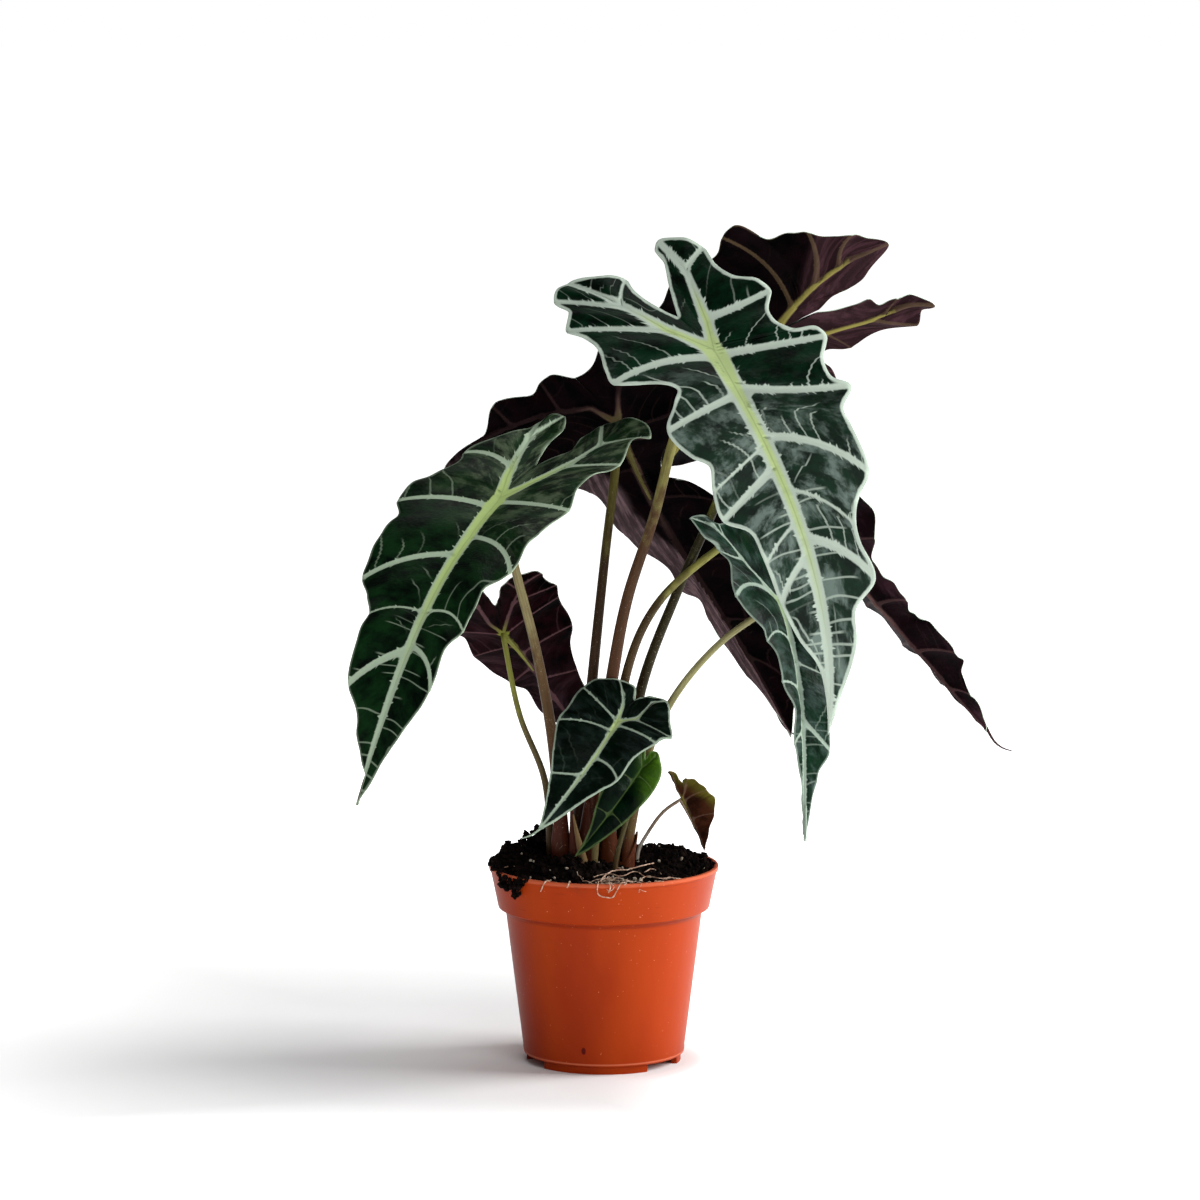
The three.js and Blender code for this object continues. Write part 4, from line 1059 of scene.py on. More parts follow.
warp = bench.noise(flat, 0.03, 1.0) * 16.0 + shift
arc, chance, length = threads(run - phase * phase * given.Curl + warp, given.Spacing, 0.62, shift)
arc = arc * bench.ramp(chance, 0.36, 0.4) * bench.ramp(phase - length * 0.75, 0.08, 0.2, 1.0, 0.0)
arc = arc * bench.ramp(run, 3.0, 12.0) * given.Twigs * bench.ramp(y, -30.0, 10.0, 0.3, 1.0)
rung, chance, length = threads(y - x * x * 0.006 + warp * 0.6, 4.6, given.Rung_Width, shift + 5.0)
rung = rung * bench.ramp(chance, 0.3, 0.35) * bench.ramp(abs(x) - length * 24.0, 4.0, 8.0, 1.0, 0.0)
rung = rung * bench.ramp(y - given.Rungs_From, 0.0, 15.0) * given.Rungs
faint = bench.ramp(edge_rag * 0.4 + margin, 0.5, 1.3, 1.0, 0.0) * given.Faint_Margin
twig = bench.maths("MAXIMUM", bench.maths("MAXIMUM", arc, rung), faint)
close_group(bench, Vein=lines, Core=core, Twig=twig,
            Relief=bench.noise(flat, 0.5, 3.0) - bench.maths("MAXIMUM", lines, twig) * 0.35,
            Crease=bench.ramp(rib, 0.1, 0.6, 1.0, 0.0) * bench.ramp(glow, 0.15, 0.4))

# %% Lamina group
bench, given = new_group(
    "lamina", Dark=BLACK, Light=WHITE, Sheen=WHITE, Patches=0.5, Wash=0.0, Across=0.0, Along=0.0, From=-2.0,
    To=-1.0, Rim_Light=0.0, Rim_Side=0.0, Rim_From=0.0, Rim_Width=12.0, Run_Streaks=0.09, Zone_Streaks=5.0,
    Curl=18.0, Seed=0.0)
x, y, _, flat = bench.measured("flat")
run, zone, margin, _ = bench.measured("net")
phase = bench.maths("FRACT", zone)
spot = bench.vector("ADD", flat, bench.combine(given.Seed, given.Seed, 0.0))
mottle = bench.ramp(bench.noise(spot, 0.07, 4.0, 0.6), 0.32, 0.68)
streaks = bench.combine((run - phase * phase * given.Curl) * given.Run_Streaks, zone * given.Zone_Streaks,
                        bench.maths("SIGN", x) * 7.0 + given.Seed)
cloud = bench.ramp(bench.noise(streaks, 1.0, 4.0, 0.62), 0.43, 0.68)
# Painted sheen: lighter cloudy patches in one region of each blade, where light catches it, and on some
# undersides a painted lit band along one edge (Rim Light).
sheen_region = bench.ramp(x * given.Across + y * given.Along, given.From, given.To)
rim = bench.ramp(margin - given.Rim_Width, -5.0, 0.0, 1.0, 0.0) * given.Rim_Light
rim = rim * bench.maths("GREATER_THAN", x * given.Rim_Side, 0.0) * bench.ramp(y - given.Rim_From, 0.0, 12.0)
painted_sheen = bench.maths("MAXIMUM", sheen_region * (cloud * given.Patches + given.Wash), rim * (cloud * 0.7 + 0.3))
painted_sheen = bench.maths("MINIMUM", painted_sheen, 1.0)
close_group(bench, Colour=bench.blend(painted_sheen, bench.blend(mottle, given.Dark, given.Light), given.Sheen))


# %% Leaf finish
def leaf_finish(name, seed, look, lines, under):
    """A dark lamina under pale frayed veins; underneath, ribs that stand out in olive or dull pink."""
    material, bench = new_material(name, Specular_IOR_Level=0.01 if under else 0.05, Roughness=0.5)
    veins = bench.group("vein_lines", Seed=seed, **lines)
    pale, core = colour(*look["pale"]), colour(*look["core"])
    values = {key: colour(*v) if isinstance(v, tuple) else v for key, v in look["lamina"].items()}
    skin = bench.group("lamina", Seed=seed, **values).Colour
    line = bench.blend(veins.Core, pale, core)
    twig, shown = veins.Twig, look["strength"]
    if under:
        twig, shown = twig * 0.35, bench.maths("MAXIMUM", veins.Core * 0.85, shown)
    painted = bench.blend(veins.Vein * shown, bench.blend(twig, skin, pale), line)
    if not under:
        painted = bench.blend(veins.Crease * 0.3, painted, colour(104, 124, 76))
        bench.dress(Roughness=bench.ramp(veins.Vein, 0.0, 1.0, 0.34, 0.5))
    bench.dress(veins.Relief, 0.0006, 0.4 if under else 0.5, Base_Color=painted)
    return material


# %% Leaf colours
def look_of(base, **changes):
    """A copy of a look with some values changed; those of the lamina are given under lamina."""
    return {**base, **changes, "lamina": {**base["lamina"], **changes.get("lamina", {})}}


# Sheen, Patches, Wash and the region set a blade's painted sheen, and Rim Light a painted lit band; Dark and
# Light are the blade's own mottled colour.
TOP = dict(pale=(180, 194, 180), core=(184, 203, 140), strength=1.0,
           lamina=dict(Dark=(1, 7, 3), Light=(6, 36, 19), Sheen=(84, 104, 98), Patches=0.3))
UNDER = dict(pale=(104, 76, 76), core=(128, 122, 62), strength=0.4,
             lamina=dict(Dark=(1, 1, 1), Light=(14, 4, 6), Sheen=(64, 44, 50), Patches=0.2,
                         Run_Streaks=0.14, Zone_Streaks=1.2, Curl=30.0))
LOOKS_ABOVE = dict(
    front_tall=(
        look_of(TOP, lamina=dict(Across=-0.9, Along=1.0, From=5.0, To=72.0, Patches=0.95, Wash=0.07,
                                 Sheen=(106, 122, 114))),
        dict(Margin=1.8, Rungs_From=88.0, Rungs=0.6, Rung_Width=0.62, Core_Width=0.5, Core_Reach=0.42,
             Softness=0.5)),
    front_left=(
        look_of(TOP, core=(172, 194, 122), pale=(156, 174, 150),
                lamina=dict(Across=0.5, Along=-1.0, From=-50.0, To=20.0, Patches=0.72, Wash=0.02,
                            Sheen=(88, 102, 78), Light=(12, 40, 16))),
        dict(Margin=0.1, Faint_Margin=0.3, Core_Width=0.7, Spacing=11.0, Twigs=0.3, Rungs=0.4,
             Rungs_From=95.0, Rung_Width=0.42)),
    right_low=(
        look_of(TOP, pale=(138, 154, 140), core=(150, 172, 112)),
        dict(Margin=0.1, Faint_Margin=0.5, Twigs=0.3, Spacing=9.0, Rungs=0.3, Rung_Width=0.5, Barbs=0.5,
             Core_Reach=1.0)),
    front_small=(
        look_of(TOP, pale=(154, 171, 152), lamina=dict(Patches=0.1, Light=(3, 16, 7))),
        dict(Margin=0.9, Twigs=0.04, Rungs=0.0, Barbs=0.6, Widen=0.76)),
    young_green=(
        look_of(TOP, pale=(150, 180, 110), core=(92, 134, 52), strength=0.14,
                lamina=dict(Across=0.7, Along=-0.5, From=-6.0, To=9.0, Patches=0.35, Wash=0.5,
                            Sheen=(72, 112, 24), Dark=(1, 9, 4), Light=(3, 24, 8))),
        dict(Margin=-0.4, Faint_Margin=0.2, Twigs=0.0, Rungs=0.0, Barbs=0.1, Widen=0.35, Core_Reach=0.2)),
    young_red=(
        look_of(TOP, pale=(120, 95, 80), core=(140, 130, 60), strength=0.5,
                lamina=dict(Dark=(36, 20, 12), Light=(70, 48, 22), Sheen=(112, 116, 36),
                            Along=-1.0, From=-12.0, To=4.0, Patches=0.4, Wash=0.5)),
        dict(Margin=0.3, Twigs=0.1, Rungs=0.0, Barbs=0.1, Widen=0.5)),
)
LOOKS_BELOW = dict(
    back_top=(
        look_of(UNDER, pale=(104, 86, 64), core=(146, 138, 72), strength=0.38,
                lamina=dict(Across=-0.88, Along=-0.48, From=3.0, To=12.0, Wash=0.3, Patches=0.6,
                            Sheen=(70, 46, 52), Light=(12, 4, 6))),
        dict(Core_Reach=0.0, Core_Width=0.5, Widen=0.62, Margin=0.3, Twigs=0.15, Rungs=0.0, Barbs=0.5)),
    back_middle=(
        look_of(UNDER, strength=0.08, core=(84, 74, 48),
                lamina=dict(Across=1.0, From=80.0, To=90.0, Rim_Light=1.0, Rim_Side=1.0, Rim_From=12.0,
                            Rim_Width=15.0, Sheen=(112, 92, 96), Light=(11, 3, 5), Run_Streaks=0.4,
                            Zone_Streaks=1.4, Curl=0.0)),
        dict(Core_Reach=0.8, Core_Width=0.2, Widen=0.4, Margin=0.2, Twigs=0.15, Rungs=0.0, Barbs=0.4)),
    back_right=(
        look_of(UNDER, core=(92, 70, 66), strength=0.22,
                lamina=dict(Wash=0.03, Patches=0.7, Run_Streaks=0.06, Zone_Streaks=0.9, Curl=0.0,
                            Sheen=(58, 37, 44), Light=(15, 4, 7))),
        dict(Widen=0.45, Margin=0.3, Twigs=0.1, Rungs=0.0, Barbs=0.3)),
    back_left_low=(
        look_of(UNDER, core=(150, 160, 60), pale=(108, 78, 82), strength=0.55,
                lamina=dict(Across=0.8, Along=0.3, From=-14.0, To=20.0, Wash=0.1, Patches=0.5,
                            Light=(26, 7, 11))),
        dict(Core_Reach=0.92, Core_Width=0.6, Widen=0.4, Margin=0.2, Twigs=0.3, Rungs=0.0, Barbs=0.4)),
    young_red=(
        look_of(UNDER, pale=(120, 96, 82), core=(110, 102, 48),
                lamina=dict(Dark=(24, 10, 6), Light=(64, 34, 21), Sheen=(108, 112, 36),
                            Across=-1.0, Along=-0.6, From=5.0, To=15.0, Patches=0.4, Wash=0.35)),
        dict(Core_Reach=0.6, Widen=0.4, Margin=0.1, Twigs=0.1, Rungs=0.0, Barbs=0.2)),
)
PLAIN_ABOVE = (TOP, dict(Margin=1.4, Twigs=0.4))
PLAIN_BELOW = (UNDER, dict(Widen=0.55, Margin=0.3, Twigs=0.15, Rungs=0.0, Barbs=0.4))
for number, (name, piece) in enumerate(blades.items()):
    for under, face, seed, looks, plain in ((False, "top_", 1.3, LOOKS_ABOVE, PLAIN_ABOVE),
                                            (True, "under_", 2.9, LOOKS_BELOW, PLAIN_BELOW)):
        look, lines = looks.get(name, plain)
        piece.data.materials[under] = leaf_finish(face + name, number * 3.7 + seed, look, lines, under)
print("leaf materials:", 2 * len(blades))

# %% [markdown]
# ## Drip tips
# Four of the tips run out into a thread that hangs or hooks. It could be pulled out of the blade's last
# vertices; a thin rolled sheet joined to the blade gives an even taper with less trouble.

# %% Threads at the tips
FINE_TIP, FINE_STEP = 0.3, 1.5


def tapered(points, radius, sides):
    """A tube along a smooth path through the points, from this radius to a fine tip."""
    path, _ = smooth_path(points, FINE_STEP)
    radii = np.linspace(radius, FINE_TIP, len(path))
    return welded(sheet(rolled(path, radii, sides)), outwards=True)


def grown(piece, extra, material_number=0):
    """Joins a piece and what grows on it, which takes one of the piece's own materials."""
    extra.data.materials.append(piece.data.materials[material_number])
    return joined([piece, extra])


THREADS = dict(
    back_middle=([(92, 75, 177.5), (94.5, 76, 169), (98.3, 76, 163), (102.6, 76, 159.9)], 1.4, 1),
    back_right=([(203, 61.4, 168), (208.8, 62, 158.2), (213.1, 62, 155), (217.9, 62, 153.4)], 0.9, 1),
    front_small=([(-32.5, -48, 130.5), (-37, -48.6, 127.4), (-42.5, -49, 125.4)], 0.6, 0),
    right_low=([(102, -81, 148), (102.2, -82, 136.7), (102.3, -82, 129.5)], 0.7, 0),
)
for name, (points, radius, side_number) in THREADS.items():
    blades[name] = grown(blades[name], tapered(points, radius, 8), side_number)
print("threads:", len(THREADS))

# %% [markdown]
# ## Stalk skin
# Petioles are smooth and finely streaked, reddish brown at the sheathed foot and olive towards the blade.
# A colour ramp along a UV map would do. Here a group mixes three colours by the place along the stalk that
# each vertex carries, and every stalk sets its own three.

# %% Stalk group
bench, given = new_group("stalk_skin", Foot=BLACK, Middle=BLACK, Top=BLACK, Turn=0.55, Seed=0.0)
around, along, place, _ = bench.measured("stalk")
fibre = bench.noise(bench.combine(around * 0.9, along * 0.03, given.Seed), 1.0, 3.0, 0.6)
blotch = bench.noise(bench.combine(around, along * 0.5, given.Seed), 0.22, 2.0)
moved = place + blotch * 0.3 - 0.15
skin = bench.blend(bench.ramp(moved, 0.05, given.Turn), given.Foot, given.Middle)
skin = bench.blend(bench.ramp(moved - given.Turn, 0.0, 0.2), skin, given.Top)
skin = bench.blend(bench.ramp(fibre, 0.42, 0.7, 0.0, 0.4), skin, (0.02, 0.012, 0.008, 1))
# Small pale flecks are painted highlights on the stalk's skin.
highlight_fleck = bench.noise(bench.combine(around, along, given.Seed), 1.6, 1.0)
skin = bench.blend(bench.ramp(highlight_fleck, 0.66, 0.76, 0.0, 0.35), skin, (0.45, 0.4, 0.3, 1))
close_group(bench, Colour=skin, Height=fibre)

# %% Stalk colours
# The colours at the foot, in the middle and at the top, and where along the stalk the last one starts.
STALK_COLOURS = dict(
    front_tall=((72, 31, 17), (74, 49, 28), (132, 128, 70), 0.64),
    front_left=((78, 33, 19), (86, 64, 38), (132, 122, 84), 0.56),
    back_top=((42, 26, 13), (41, 38, 13), (112, 116, 42), 0.62),
    back_middle=((62, 34, 18), (48, 32, 16), (84, 78, 34), 0.66),
    back_right=((98, 50, 26), (66, 52, 30), (146, 144, 76), 0.6),
    right_low=((94, 46, 24), (112, 104, 64), (140, 136, 92), 0.4),
    back_left_low=((84, 60, 38), (98, 86, 56), (128, 130, 58), 0.6),
    front_small=((128, 104, 68), (124, 122, 76), (150, 160, 100), 0.5),
    young_green=((84, 58, 38), (78, 72, 42), (84, 112, 44), 0.6),
    young_red=((170, 158, 142), (168, 160, 148), (130, 112, 94), 0.5),
)
for number, (name, (foot, middle, top, turn)) in enumerate(STALK_COLOURS.items()):
    stalk_skin, bench = new_material("stalk_" + name, Roughness=0.42, Specular_IOR_Level=0.1)
    skin = bench.group("stalk_skin", Seed=2.3 * number, Foot=colour(*foot), Middle=colour(*middle),
                       Top=colour(*top), Turn=turn)
    bench.dress(skin.Height, 0.0003, 0.4, Base_Color=skin.Colour)
    stalks[name].data.materials.append(stalk_skin)

SCALE_LEAVES = dict(
    front_small=([(-9.5, -14, 101), (-11.5, -14.5, 111), (-14, -14, 122), (-16, -12.5, 132)], 3.0),
    front_left=([(-15, -9, 100), (-15.8, -9, 114), (-16.4, -9, 128), (-17.2, -9.5, 142)], 3.4),
)
for name, (points, radius) in SCALE_LEAVES.items():
    stalks[name] = grown(stalks[name], tapered(points, radius, 12))
print("stalk materials:", len(STALK_COLOURS))

# %% [markdown]
# ## Crumbs, perlite and roots
# Loose stuff makes soil look like soil. One crumb is modelled as a low ico sphere pushed about by noise, and
# hundreds of copies of it are turned, scaled and dropped on the soil. A particle system or geometry nodes
# could scatter them; plain copies are easier to follow and stay put.

# %% Scatter of crumbs
rng = np.random.default_rng(7)
STRAY_CRUMBS, SCATTER_REACH, RIM_TOP, ON_RIM = 620, 54.0, 102.6, 56.5
# The centre of each heap, its spread and height, how many crumbs it has and how far out they may lie.
HEAPS = (
    ((-34, 24), (12, 10), 3.5, 260), ((-49, 4), (4, 13), 3.0, 150), ((-52, 8), (4, 9), 6, 220, 58.5),
    ((-55, -4), (3, 11), 6, 240, 59.4), ((2, 48), (18, 3), 2.5, 160), ((37, 36), (12, 6), 2.5, 150),
    ((52, 4), (3, 16), 2.0, 80), ((-22, 46), (14, 4), 3, 130), ((12, -2), (20, 22), 1.5, 160),
    ((-18, -20), (9, 8), 2.0, 120),
)


def scattered(name, roughness, seed, spots, sizes):
    """Copies of one rough pebble at the spots, in millimetres, each turned and stretched, as one piece."""
    pick()
    bpy.ops.mesh.primitive_ico_sphere_add(subdivisions=2, radius=1.0)
    pebble = bpy.context.active_object
    places = carried(pebble)
    bumps = 1 + roughness * noisy(places, 1.4, seed) + 0.4 * roughness * noisy(places, 3.1, seed + 4)
    pebble.data.vertices.foreach_set("co", (places * bumps[:, None] * MM).ravel())
    copies = []
    for spot, size in zip(spots, sizes):
        twin = copied(pebble)
        twin.location = Vector(spot) * MM
        twin.rotation_euler = rng.uniform(0, 6.283, 3)
        twin.scale = size * rng.uniform(0.7, 1.3, 3)
        copies.append(twin)
    bpy.data.objects.remove(pebble)
    piece = joined(copies)
    bpy.ops.object.transform_apply(location=True, rotation=True, scale=True)
    piece.name = name
    print(name + ":", len(spots), "in", triangles(piece), "triangles")
    return piece


def on_soil(count):
    """Random places all over the soil."""
    radius, turn = SCATTER_REACH * np.sqrt(rng.uniform(0, 1, count)), rng.uniform(0, 2 * np.pi, count)
    x, y = radius * np.cos(turn), radius * np.sin(turn)
    return np.stack([x, y, soil_height(x, y) + mound_height(x, y)], 1)


def heap(centre, spread, height, count, reach=57.5):
    """Random places in a mound on the soil, none farther than the reach from the pot's axis."""
    x = rng.normal(centre[0], spread[0], count)
    y = rng.normal(centre[1], spread[1], count)
    mound = height * np.exp(-((x - centre[0]) / spread[0]) ** 2 / 2 - ((y - centre[1]) / spread[1]) ** 2 / 2)
    pull = np.minimum(1, reach / np.hypot(x, y))
    x, y = x * pull, y * pull
    ground = np.where(np.hypot(x, y) > ON_RIM, RIM_TOP, soil_height(x, y) + mound_height(x, y))
    return np.stack([x, y, ground + mound * rng.uniform(0.15, 1, count)], 1)


spots = np.concatenate([on_soil(STRAY_CRUMBS), *(heap(*row) for row in HEAPS)])
crumb_sizes = 0.45 + 1.6 * rng.uniform(0, 1, len(spots)) ** 2.2
crumbs = scattered("crumbs", 0.6, 2, spots, crumb_sizes)

# %% Clump on the rim, perlite and chips
RIM_CLUMP = [(-53.2, -27.5, 101), (-50.5, -32, 101.4), (-47.8, -36, 101.2), (-44.6, -40, 101.4),
             (-41.8, -43.2, 102.2), (-49.6, -35.6, 98.6), (-46.4, -39.6, 98.2), (-45.3, -40.8, 96),
             (-52, -31.6, 98.8), (-43.4, -42.6, 99.4)]
GRAINS = [(21.4, 42, 104.5), (24.7, 45, 105), (27.2, 38, 104), (28.7, 31.1, 103.5), (23, 38, 104.5),
          (-29.5, 40, 112.5), (16, -36, 102), (19, -38, 102), (-46, 13, 106), (-49, 16, 106)]
CLODS_EACH, LOOSE_GRAINS = 9, 60

clump_spots = np.array(RIM_CLUMP * CLODS_EACH)
clump_spots = clump_spots + rng.normal(0, 1.1, clump_spots.shape)
clump = scattered("clump", 0.55, 6, clump_spots, rng.uniform(0.5, 1.5, len(clump_spots)))
crumbs = joined([crumbs, clump])
grain_spots = np.concatenate([GRAINS, on_soil(LOOSE_GRAINS) + (0, 0, 1.2)])
grain_sizes = np.concatenate([rng.uniform(1.0, 1.6, len(GRAINS)), rng.uniform(0.35, 0.9, LOOSE_GRAINS)])
perlite = scattered("perlite", 0.3, 11, grain_spots, grain_sizes)

# %% Roots
ROOTS = [
    ([(-24, -40, 101), (-27.2, -48, 102.2), (-29.4, -52.4, 104.2), (-30.6, -52.4, 102.6),
      (-32.3, -50.9, 98.4)], 0.55),
    ([(-17, -50, 102), (-17.8, -56.6, 104.4), (-18.2, -58, 102.8), (-18.8, -57.6, 101.4)], 0.6),
    ([(-3, -48, 102), (-3, -57.6, 104.4), (-3.4, -60.6, 102), (-2.6, -60.7, 98.4), (1.1, -60.1, 96.9),
      (4.6, -59.9, 97), (6.7, -60.4, 100.7), (8.7, -59.6, 104.2), (11.3, -52, 103)], 0.5),
    ([(0.6, -52, 103), (2.5, -59.2, 104.2), (3.4, -60.8, 102), (2.3, -60.6, 99.4)], 0.6),
    ([(26, -6, 105), (20, -17, 105.6), (12, -25, 105), (4, -31, 105.2), (0, -41, 104.2),
      (-2, -50, 103.4)], 0.6),
    ([(-2, 8, 104), (0.6, -4.4, 105), (4.3, -10.2, 104.6), (9, -12, 103)], 0.5),
    ([(10.5, 13, 104), (13.2, 13.2, 106), (16, 20, 106), (17.5, 26, 106), (18.6, 30, 104)], 0.9),
    ([(-7, -38, 103), (2, -34, 104.6), (9, -39, 104), (16, -31, 105), (22, -37, 103.4),
      (27, -33, 102.4)], 0.45),
    ([(18, -46, 102.5), (22, -40, 104.2), (29, -43, 103.6), (34, -36, 103)], 0.4),
    ([(4, -42, 102), (7, -48, 103.6), (12, -50, 103.4), (15, -46, 102)], 0.45),
    ([(30, -24, 102), (26, -20, 104.4), (21, -26, 104)], 0.45),
    ([(30, -40, 102), (34, -40, 103.4), (37, -36, 102.4), (40, -32, 101.4)], 0.4),
    ([(-57, -8, 103.4), (-53.3, -1, 104.6), (-50.4, 6, 106), (-46.1, 10, 107), (-41, 8, 108)], 0.7),
    ([(-54, -12, 103), (-49, -14, 104.6), (-44, -16, 104.8), (-38, -22, 103.6)], 0.5),
    ([(-8, -46, 101.6), (-3, -42, 103), (3, -40, 103), (8, -44, 102)], 0.4),
]
FINE_ROOTS = 34
ROOT_PATCH, ROOT_SPREAD = (8.0, -47.0), (9.0, 5.0)
RIM_INSIDE, RIM_OUTSIDE, OVER_RIM = 58.0, 60.8, 103.9


def fine_root():
    """A short hair root that wanders over the soil near the front rim, and perhaps out over it."""
    start = rng.normal(ROOT_PATCH, ROOT_SPREAD)
    heading = rng.uniform(0, 2 * np.pi)
    points = []
    for _ in range(5):
        radius = np.hypot(*start)
        height = OVER_RIM if radius > RIM_INSIDE else soil_height(*start) + rng.uniform(0.6, 2.2)
        if radius > RIM_OUTSIDE:
            height = OVER_RIM - 1.6 * (radius - RIM_OUTSIDE)
            start = start / radius * RIM_OUTSIDE
        points.append((*start, height))
        heading += rng.normal(0, 0.9)
        start = start + rng.uniform(2.0, 3.6) * np.array([np.cos(heading), np.sin(heading)])
    return points, rng.uniform(0.22, 0.42)


strands = []
for points, thickness in ROOTS + [fine_root() for _ in range(FINE_ROOTS)]:
    path, _ = smooth_path(points, 1.0)
    wobble = 0.35 * np.stack([noisy(path, 0.35, k) for k in (1, 2, 3)], 1)
    radii = 0.8 * thickness * (0.75 + 0.25 * noisy(path, 0.5, 4))
    strands.append(welded(sheet(rolled(path + wobble, radii, 7)), outwards=True))
roots = joined(strands)
print("roots:", len(strands), "strands,", triangles(roots), "triangles")

# %% [markdown]
# ## Soil finishes
# Damp peat is nearly black, with brown fibres and pale specks. Perlite is chalky white with dirt on it, and
# roots are straw coloured. One node group mixes them all from noise in object space, and each finish sets
# its own colours and scale.

# %% Earth group
bench, given = new_group("earth_mottle", Dark=BLACK, Light=WHITE, Speck=WHITE, Specks_From=0.7, Scale=300.0)
place = bench.place()
grain = bench.noise(place, given.Scale, 5.0, 0.65)
mixed = bench.blend(bench.ramp(grain, 0.35, 0.7), given.Dark, given.Light)
specks = bench.ramp(bench.noise(place, given.Scale * 4.5), given.Specks_From, given.Specks_From + 0.06)
close_group(bench, Colour=bench.blend(specks, mixed, given.Speck), Height=grain)


# %% Soil, perlite and root materials
def earthy(piece, name, dark, light, speck, specks_from, scale, roughness=0.9):
    """Gives a piece a dull mottled finish with scattered specks."""
    material, bench = new_material(name, Roughness=roughness, Specular_IOR_Level=0.05)
    mottle = bench.group("earth_mottle", Dark=colour(*dark), Light=colour(*light), Speck=colour(*speck),
                         Specks_From=specks_from, Scale=scale)
    bench.dress(mottle.Height, 0.001, 0.7, Base_Color=mottle.Colour)
    piece.data.materials.clear()
    piece.data.materials.append(material)


earthy(soil, "soil_peat", (4, 3, 2), (22, 14, 11), (110, 90, 76), 0.73, 260.0)
earthy(crumbs, "crumb_peat", (3, 2, 2), (27, 17, 13), (130, 110, 92), 0.75, 320.0)
earthy(perlite, "perlite_chalk", (120, 104, 88), (214, 204, 186), (90, 70, 50), 0.68, 500.0)
earthy(roots, "root_straw", (150, 112, 90), (226, 200, 178), (110, 74, 50), 0.7, 600.0, 0.7)
print("earth materials: 4")

# %% [markdown]
# ## Pot
# A thermoformed nursery pot: a thin tapered wall with a broad collar that overhangs the body, standing on
# three low feet. The wall could be spun from a profile curve; here a circle is extruded and resized ring by
# ring, a foot is spun from one small face and copied twice, and the drain holes are cut with a boolean.

# %% Pot shell
POT_SEGMENTS = 180
POT_PROFILE = (
    (6.0, 4.0), (41.4, 4.0), (42.0, 4.5), (42.4, 7.0), (42.3, 7.8), (50.9, 75.8), (51.3, 78.8), (51.9, 80.2),
    (54.5, 81.2), (55.1, 81.5), (55.4, 82.4), (59.05, 100.2), (59.3, 100.8), (59.9, 101.2), (60.0, 101.8),
    (60.0, 102.8), (59.8, 103.3), (59.3, 103.5), (58.3, 103.5), (57.9, 103.3), (57.7, 102.6), (53.8, 81.5),
    (49.8, 77.0), (40.9, 6.6), (40.3, 6.0), (6.0, 6.0))


def face_outwards():
    """Turns all faces of the mesh being edited outwards and leaves Edit Mode."""
    bpy.ops.mesh.select_all(action="SELECT")
    bpy.ops.mesh.normals_make_consistent(inside=False)
    bpy.ops.object.mode_set(mode="OBJECT")


pick()
bpy.ops.mesh.primitive_circle_add(vertices=POT_SEGMENTS, radius=POT_PROFILE[0][0] * MM, fill_type="NGON",
                                  location=(0, 0, POT_PROFILE[0][1] * MM))
pot = bpy.context.active_object
bpy.ops.object.transform_apply(location=True)
bpy.ops.object.mode_set(mode="EDIT")
bpy.ops.mesh.select_all(action="DESELECT")
bpy.ops.mesh.select_mode(type="EDGE")
bpy.ops.mesh.select_all(action="SELECT")
for (r0, z0), (r1, z1) in zip(POT_PROFILE, POT_PROFILE[1:]):
    bpy.ops.mesh.extrude_edges_move(TRANSFORM_OT_translate={"value": (0, 0, (z1 - z0) * MM)})
    bpy.ops.transform.resize(value=(r1 / r0, r1 / r0, 1), center_override=(0, 0, z1 * MM))
bpy.ops.mesh.edge_face_add()
face_outwards()
print("pot shell", triangles(pot), "triangles")

# %% Feet, centre pad and drain holes
FOOT_RADIUS, FOOT_WIDTH, FOOT_TOP = 38.9, 3.0, 5.0
FOOT_START, FOOT_SWEEP, FOOT_STEPS = math.radians(-20), math.radians(84), 28
PAD_RADIUS, THIRD_OF_A_TURN = 9.0, 2 * math.pi / 3
DRAIN_RADIUS, DRAIN_CIRCLE, DRAINS = 4.0, 26.0, 6


def foot():
    """One foot: an upright rectangle spun about the pot's axis."""
    pick()
    bpy.ops.mesh.primitive_plane_add(size=1, rotation=(math.pi / 2, 0, FOOT_START), location=(
        FOOT_RADIUS * MM * math.cos(FOOT_START), FOOT_RADIUS * MM * math.sin(FOOT_START), FOOT_TOP / 2 * MM))
    piece = bpy.context.active_object
    piece.scale = (FOOT_WIDTH * MM, FOOT_TOP * MM, 1)
    bpy.ops.object.transform_apply(location=True, rotation=True, scale=True)
    bpy.ops.object.mode_set(mode="EDIT")
    bpy.ops.mesh.select_all(action="SELECT")
    bpy.ops.mesh.spin(steps=FOOT_STEPS, angle=-FOOT_SWEEP, center=(0, 0, 0), axis=(0, 0, 1))
    face_outwards()
    return piece


def drum(radius, low, high, out=0.0, turn=0.0):
    """An upright cylinder this far out from the pot's axis."""
    pick()
    bpy.ops.mesh.primitive_cylinder_add(vertices=32, radius=radius * MM, depth=(high - low) * MM, location=(
        out * MM * math.cos(turn), out * MM * math.sin(turn), (low + high) / 2 * MM))
    bpy.ops.object.transform_apply(location=True)
    return bpy.context.active_object


feet = [foot()]
for number in (1, 2):
    twin = copied(feet[0])
    twin.rotation_euler = (0, 0, number * THIRD_OF_A_TURN)
    pick(twin)
    bpy.ops.object.transform_apply(location=False, rotation=True, scale=False)
    feet.append(twin)
cutter = joined([drum(DRAIN_RADIUS, 2, 8, DRAIN_CIRCLE, i * 2 * math.pi / DRAINS) for i in range(DRAINS)])
modified(pot, "BOOLEAN", object=cutter, operation="DIFFERENCE")
bpy.data.objects.remove(cutter)
pot = joined([pot, *feet, drum(PAD_RADIUS, 0, FOOT_TOP)])
bpy.ops.object.shade_smooth_by_angle(angle=math.radians(32))
print("pot", triangles(pot), "triangles")
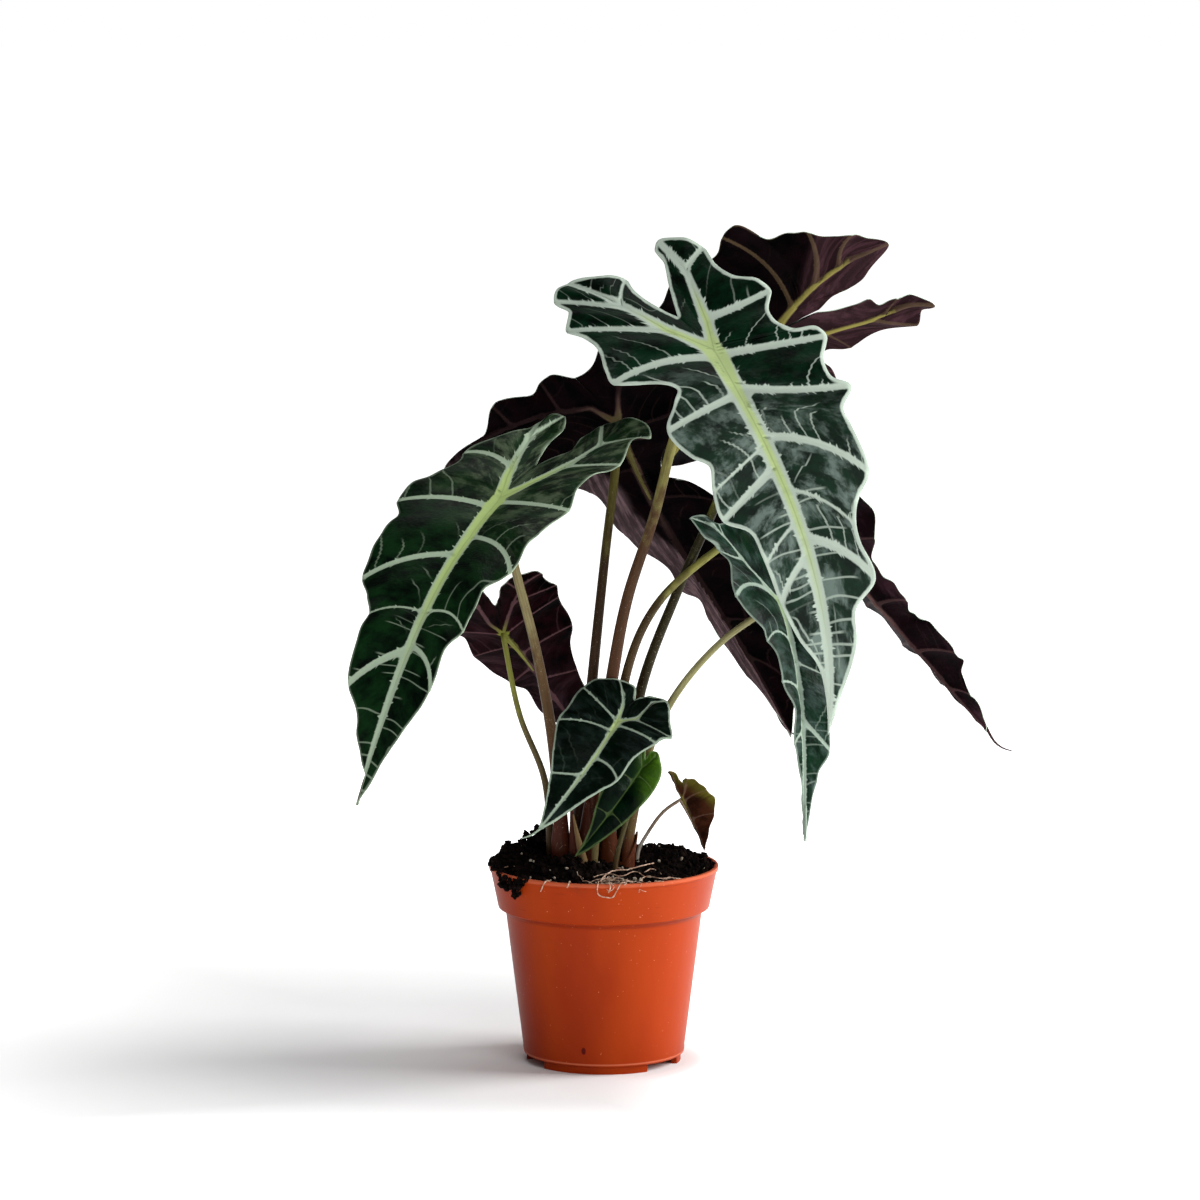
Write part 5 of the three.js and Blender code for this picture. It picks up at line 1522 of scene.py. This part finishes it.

# %% [markdown]
# ## Pot finish
# The plastic is a strong orange red, satin. A band just under the collar is painted darker, as painted
# shade. By the rim and at the foot it is a little darker where dust and damp gather, and thin painted
# highlights run round the rim's top and the foot's edge. Fine specks and a dirty tide below the rim keep it
# from looking new. Each wear, painted shade or painted highlight is a mask with a colour, laid over the
# last one.

# %% Pot material
POT_MARK = (-0.0105, -0.0416, 0.0076)
COLLAR_EDGE, COLLAR_START, TIDE_START, RIM_HIGHLIGHT_START, FOOT_HIGHLIGHT_HEIGHT = 0.0797, 0.081, 0.094, 0.1012, 0.0053

pot_red, bench = new_material("pot_terracotta", Specular_IOR_Level=0.085)
place = bench.place()
_, _, z = bench.parts(place)
cloud = bench.noise(bench.vector("MULTIPLY", place, (1, 1, 0.35)), 22.0, 3.0)
# Painted shade: a darker band just under the collar's edge, where the collar shades the body.
collar_shade = bench.ramp(abs(z - COLLAR_EDGE), 0.0003, 0.0022, 0.6, 0.0)
tide = bench.ramp(bench.noise(place, 60.0, 4.0, 0.7), 0.5, 0.75) * bench.ramp(z, TIDE_START, 0.1035, 0.0, 0.5)
scuffs = bench.noise(bench.vector("MULTIPLY", place, (1, 1, 12)), 70.0, 3.0)
scuffs = bench.ramp(scuffs, 0.66, 0.72, 0.0, 0.35) * bench.ramp(z, COLLAR_START, 0.084)
# Painted highlight: a pale line round the foot's edge.
foot_highlight = bench.ramp(abs(z - FOOT_HIGHLIGHT_HEIGHT), 0.0002, 0.0007, 0.4, 0.0)
# Painted highlight: a pale band along the rim's top.
rim_highlight = bench.ramp(z, RIM_HIGHLIGHT_START, 0.1022, 0.0, 0.3)
specks = bench.ramp(bench.noise(place, 900.0, 1.0), 0.76, 0.8, 0.0, 0.6)
from_mark = bench.vector("DISTANCE", bench.vector("MULTIPLY", place, (1, 1, 0.6)), POT_MARK, output="Value")
mark = bench.ramp(from_mark, 0.0009, 0.0014, 1.0, 0.0)
plastic = bench.blend(bench.ramp(cloud, 0.35, 0.65), colour(148, 43, 2), colour(162, 54, 4))
for mask, tint in ((collar_shade, (112, 28, 6)), (tide, (70, 32, 20)), (scuffs, (104, 30, 10)),
                   (foot_highlight, (236, 138, 104)), (rim_highlight, (232, 132, 96)), (specks, (235, 150, 120)),
                   (mark, (84, 6, 2))):
    plastic = bench.blend(mask, plastic, colour(*tint))
bench.dress(bench.noise(place, 300.0, 3.0), 0.0002, 0.25, Base_Color=plastic,
            Roughness=bench.ramp(cloud, 0.3, 0.7, 0.38, 0.46))
pot.data.materials.clear()
pot.data.materials.append(pot_red)
print("pot material ready")

# %% [markdown]
# ## Hand over
# Each piece rides on the one body, is named after the solid it stands for, and hides that solid.
# Crumbs, grains and roots are extra detail and stand for nothing of their own.

# %% Name the pieces
YOUNG_SLOTS = dict(young_green="young_leaf_green", young_red="young_leaf_red")
for name, piece in blades.items():
    slot = YOUNG_SLOTS.get(name, "leaf_burgundy" if name.startswith("back") else "leaf_green")
    finish_piece(piece, "blade_" + name + "_leaf", slot, "blade_" + name)
for name, piece in stalks.items():
    finish_piece(piece, "petiole_" + name + "_stalk", "petiole", "petiole_" + name)
finish_piece(soil, "soil_body", "soil", "soil")
finish_piece(crumbs, "soil_crumbs", "soil", smooth=False)
finish_piece(perlite, "soil_perlite", "soil", smooth=False)
finish_piece(roots, "soil_roots", "soil")
finish_piece(pot, "pot_shell", "pot", "pot", smooth=False)
print("pieces:", len(blades) + len(stalks) + 5)
